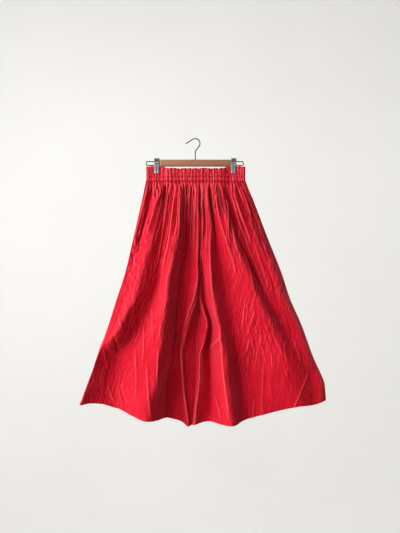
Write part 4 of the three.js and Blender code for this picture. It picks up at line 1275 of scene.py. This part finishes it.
def clip_plate(name, middle, facing):
    """One plate: a strip drawn down its bent line, with its rib, ears and rounded corners."""
    (top_depth, top), (next_depth, next_height) = PLATE_LINE[:2]
    bpy.ops.mesh.primitive_grid_add(x_subdivisions=9, y_subdivisions=1, size=1)
    plate = bpy.context.object
    plate.name = name
    for vertex in plate.data.vertices:
        depth, height = (top_depth, top) if vertex.co.y > 0 else (next_depth, next_height)
        vertex.co = (middle + 2 * CLIP_HALF * vertex.co.x, facing * depth, height)
    here = (next_depth, next_height)
    select_where(plate, lambda co: abs(co.z - next_height) < HAIR, "EDGE")
    for depth, height in PLATE_LINE[2:]:
        extrude(0, facing * (depth - here[0]), height - here[1])
        here = (depth, height)
    window, panel = RIB_HALVES
    for half, lift in ((panel, RIB_LIFT), (window, -RIB_LIFT)):
        select_where(plate, lambda co: abs(co.x - middle) < half + HAIR and RIB_BOTTOM < co.z < RIB_TOP)
        bpy.ops.transform.translate(value=(0, facing * lift, 0))
    select_where(plate, lambda co: abs(co.x - middle) < panel + HAIR
                 and EAR_BOTTOM - HAIR < co.z < next_height + HAIR)
    bpy.ops.mesh.select_mode(type="FACE")
    bpy.ops.mesh.inset(thickness=WINDOW_RIM, depth=0)
    bpy.ops.mesh.delete(type="FACE")
    for side in (-1, 1):
        select_where(plate, lambda co: abs(co.x - middle - side * CLIP_HALF) < HAIR
                     and EAR_BOTTOM - HAIR < co.z < EAR_TOP + HAIR, "EDGE")
        extrude(0, -facing * EAR_REACH, 0)
        bpy.ops.transform.resize(value=(1, 1, EAR_TAPER), center_override=(middle, 0, SPRING_HEIGHT))
    lip = PLATE_LINE[-1][1]
    select_where(plate, lambda co: abs(abs(co.x - middle) - CLIP_HALF) < HAIR
                 and (abs(co.z - top) < HAIR or abs(co.z - lip) < HAIR))
    bpy.ops.mesh.bevel(offset=LIP_CORNER, segments=4, affect="VERTICES")
    bpy.ops.mesh.select_all(action="SELECT")
    bpy.ops.mesh.remove_doubles(threshold=WELD)
    bpy.ops.mesh.normals_make_consistent(inside=False)
    bpy.ops.object.mode_set(mode="OBJECT")
    face = max(plate.data.polygons, key=lambda polygon: polygon.area)
    if face.normal.y * facing < 0:
        bpy.ops.object.mode_set(mode="EDIT")
        bpy.ops.mesh.flip_normals()
        bpy.ops.object.mode_set(mode="OBJECT")
    wall = plate.modifiers.new("wall", "SOLIDIFY")
    wall.thickness = PLATE_WALL
    wall.offset = 1
    wall.use_even_offset = True
    bpy.ops.object.modifier_apply(modifier=wall.name)
    apply_bevel(plate, "eased edges", EASED_EDGE, 2, 50)
    return steel_piece(plate, clip_steel, 40)


def coiled_spring(name, middle):
    """A close coil of wire round the pin, between the two plates."""
    bpy.ops.mesh.primitive_circle_add(vertices=8, radius=SPRING_WIRE,
                                      location=(0, 0, SPRING_RADIUS - SPRING_WIRE),
                                      rotation=(math.radians(90), 0, 0))
    coil = just_added(name)
    edit()
    bpy.ops.transform.rotate(value=math.radians(90), orient_axis="Z", center_override=(0, 0, 0))
    bpy.ops.object.mode_set(mode="OBJECT")
    turns = coil.modifiers.new("turns", "SCREW")
    turns.axis = "X"
    turns.angle = math.radians(360)
    turns.iterations = SPRING_TURNS
    turns.screw_offset = (SPRING_LONG - 2 * SPRING_WIRE) / SPRING_TURNS
    turns.steps = turns.render_steps = 16
    bpy.ops.object.modifier_apply(modifier=turns.name)
    bpy.ops.object.mode_set(mode="EDIT")
    close_up()
    bpy.ops.transform.translate(value=(middle - SPRING_LONG / 2 + SPRING_WIRE, 0, SPRING_HEIGHT))
    return steel_piece(coil, wire_steel, 180)


def clip_pin(name, middle):
    """The pin that holds the ears together, with a low domed head at each end."""
    bpy.ops.mesh.primitive_cylinder_add(vertices=16, radius=PIN_RADIUS, depth=2 * PIN_HALF,
                                        location=(middle, 0, SPRING_HEIGHT),
                                        rotation=(0, math.radians(90), 0))
    pin = just_added(name)
    for side in (-1, 1):
        edit()
        bpy.ops.mesh.bisect(plane_co=(middle + side * (CLIP_HALF + PIN_SHOULDER), 0, 0), plane_no=(1, 0, 0))
    bpy.ops.object.mode_set(mode="OBJECT")
    for vertex in pin.data.vertices:
        if abs(vertex.co.x - middle) > CLIP_HALF:
            above = vertex.co.z - SPRING_HEIGHT
            vertex.co.yz = (HEAD_SPREAD * vertex.co.y, SPRING_HEIGHT + HEAD_SPREAD * above)
    apply_bevel(pin, "domed", HEAD_ROUND, 3)
    return steel_piece(pin, wire_steel, 40)


for side, middle in (("left", CLIP_LEFT * MM), ("right", CLIP_RIGHT * MM)):
    for face, facing in (("front", -1), ("back", 1)):
        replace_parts(clip_plate(f"clip_{side}_{face}_plate", middle, facing), f"clip_{side}_{face}")
    spring = coiled_spring(f"clip_{side}_coil", middle)
    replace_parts(spring, f"clip_{side}_spring")
    clip_pin(f"clip_{side}_pin", middle)
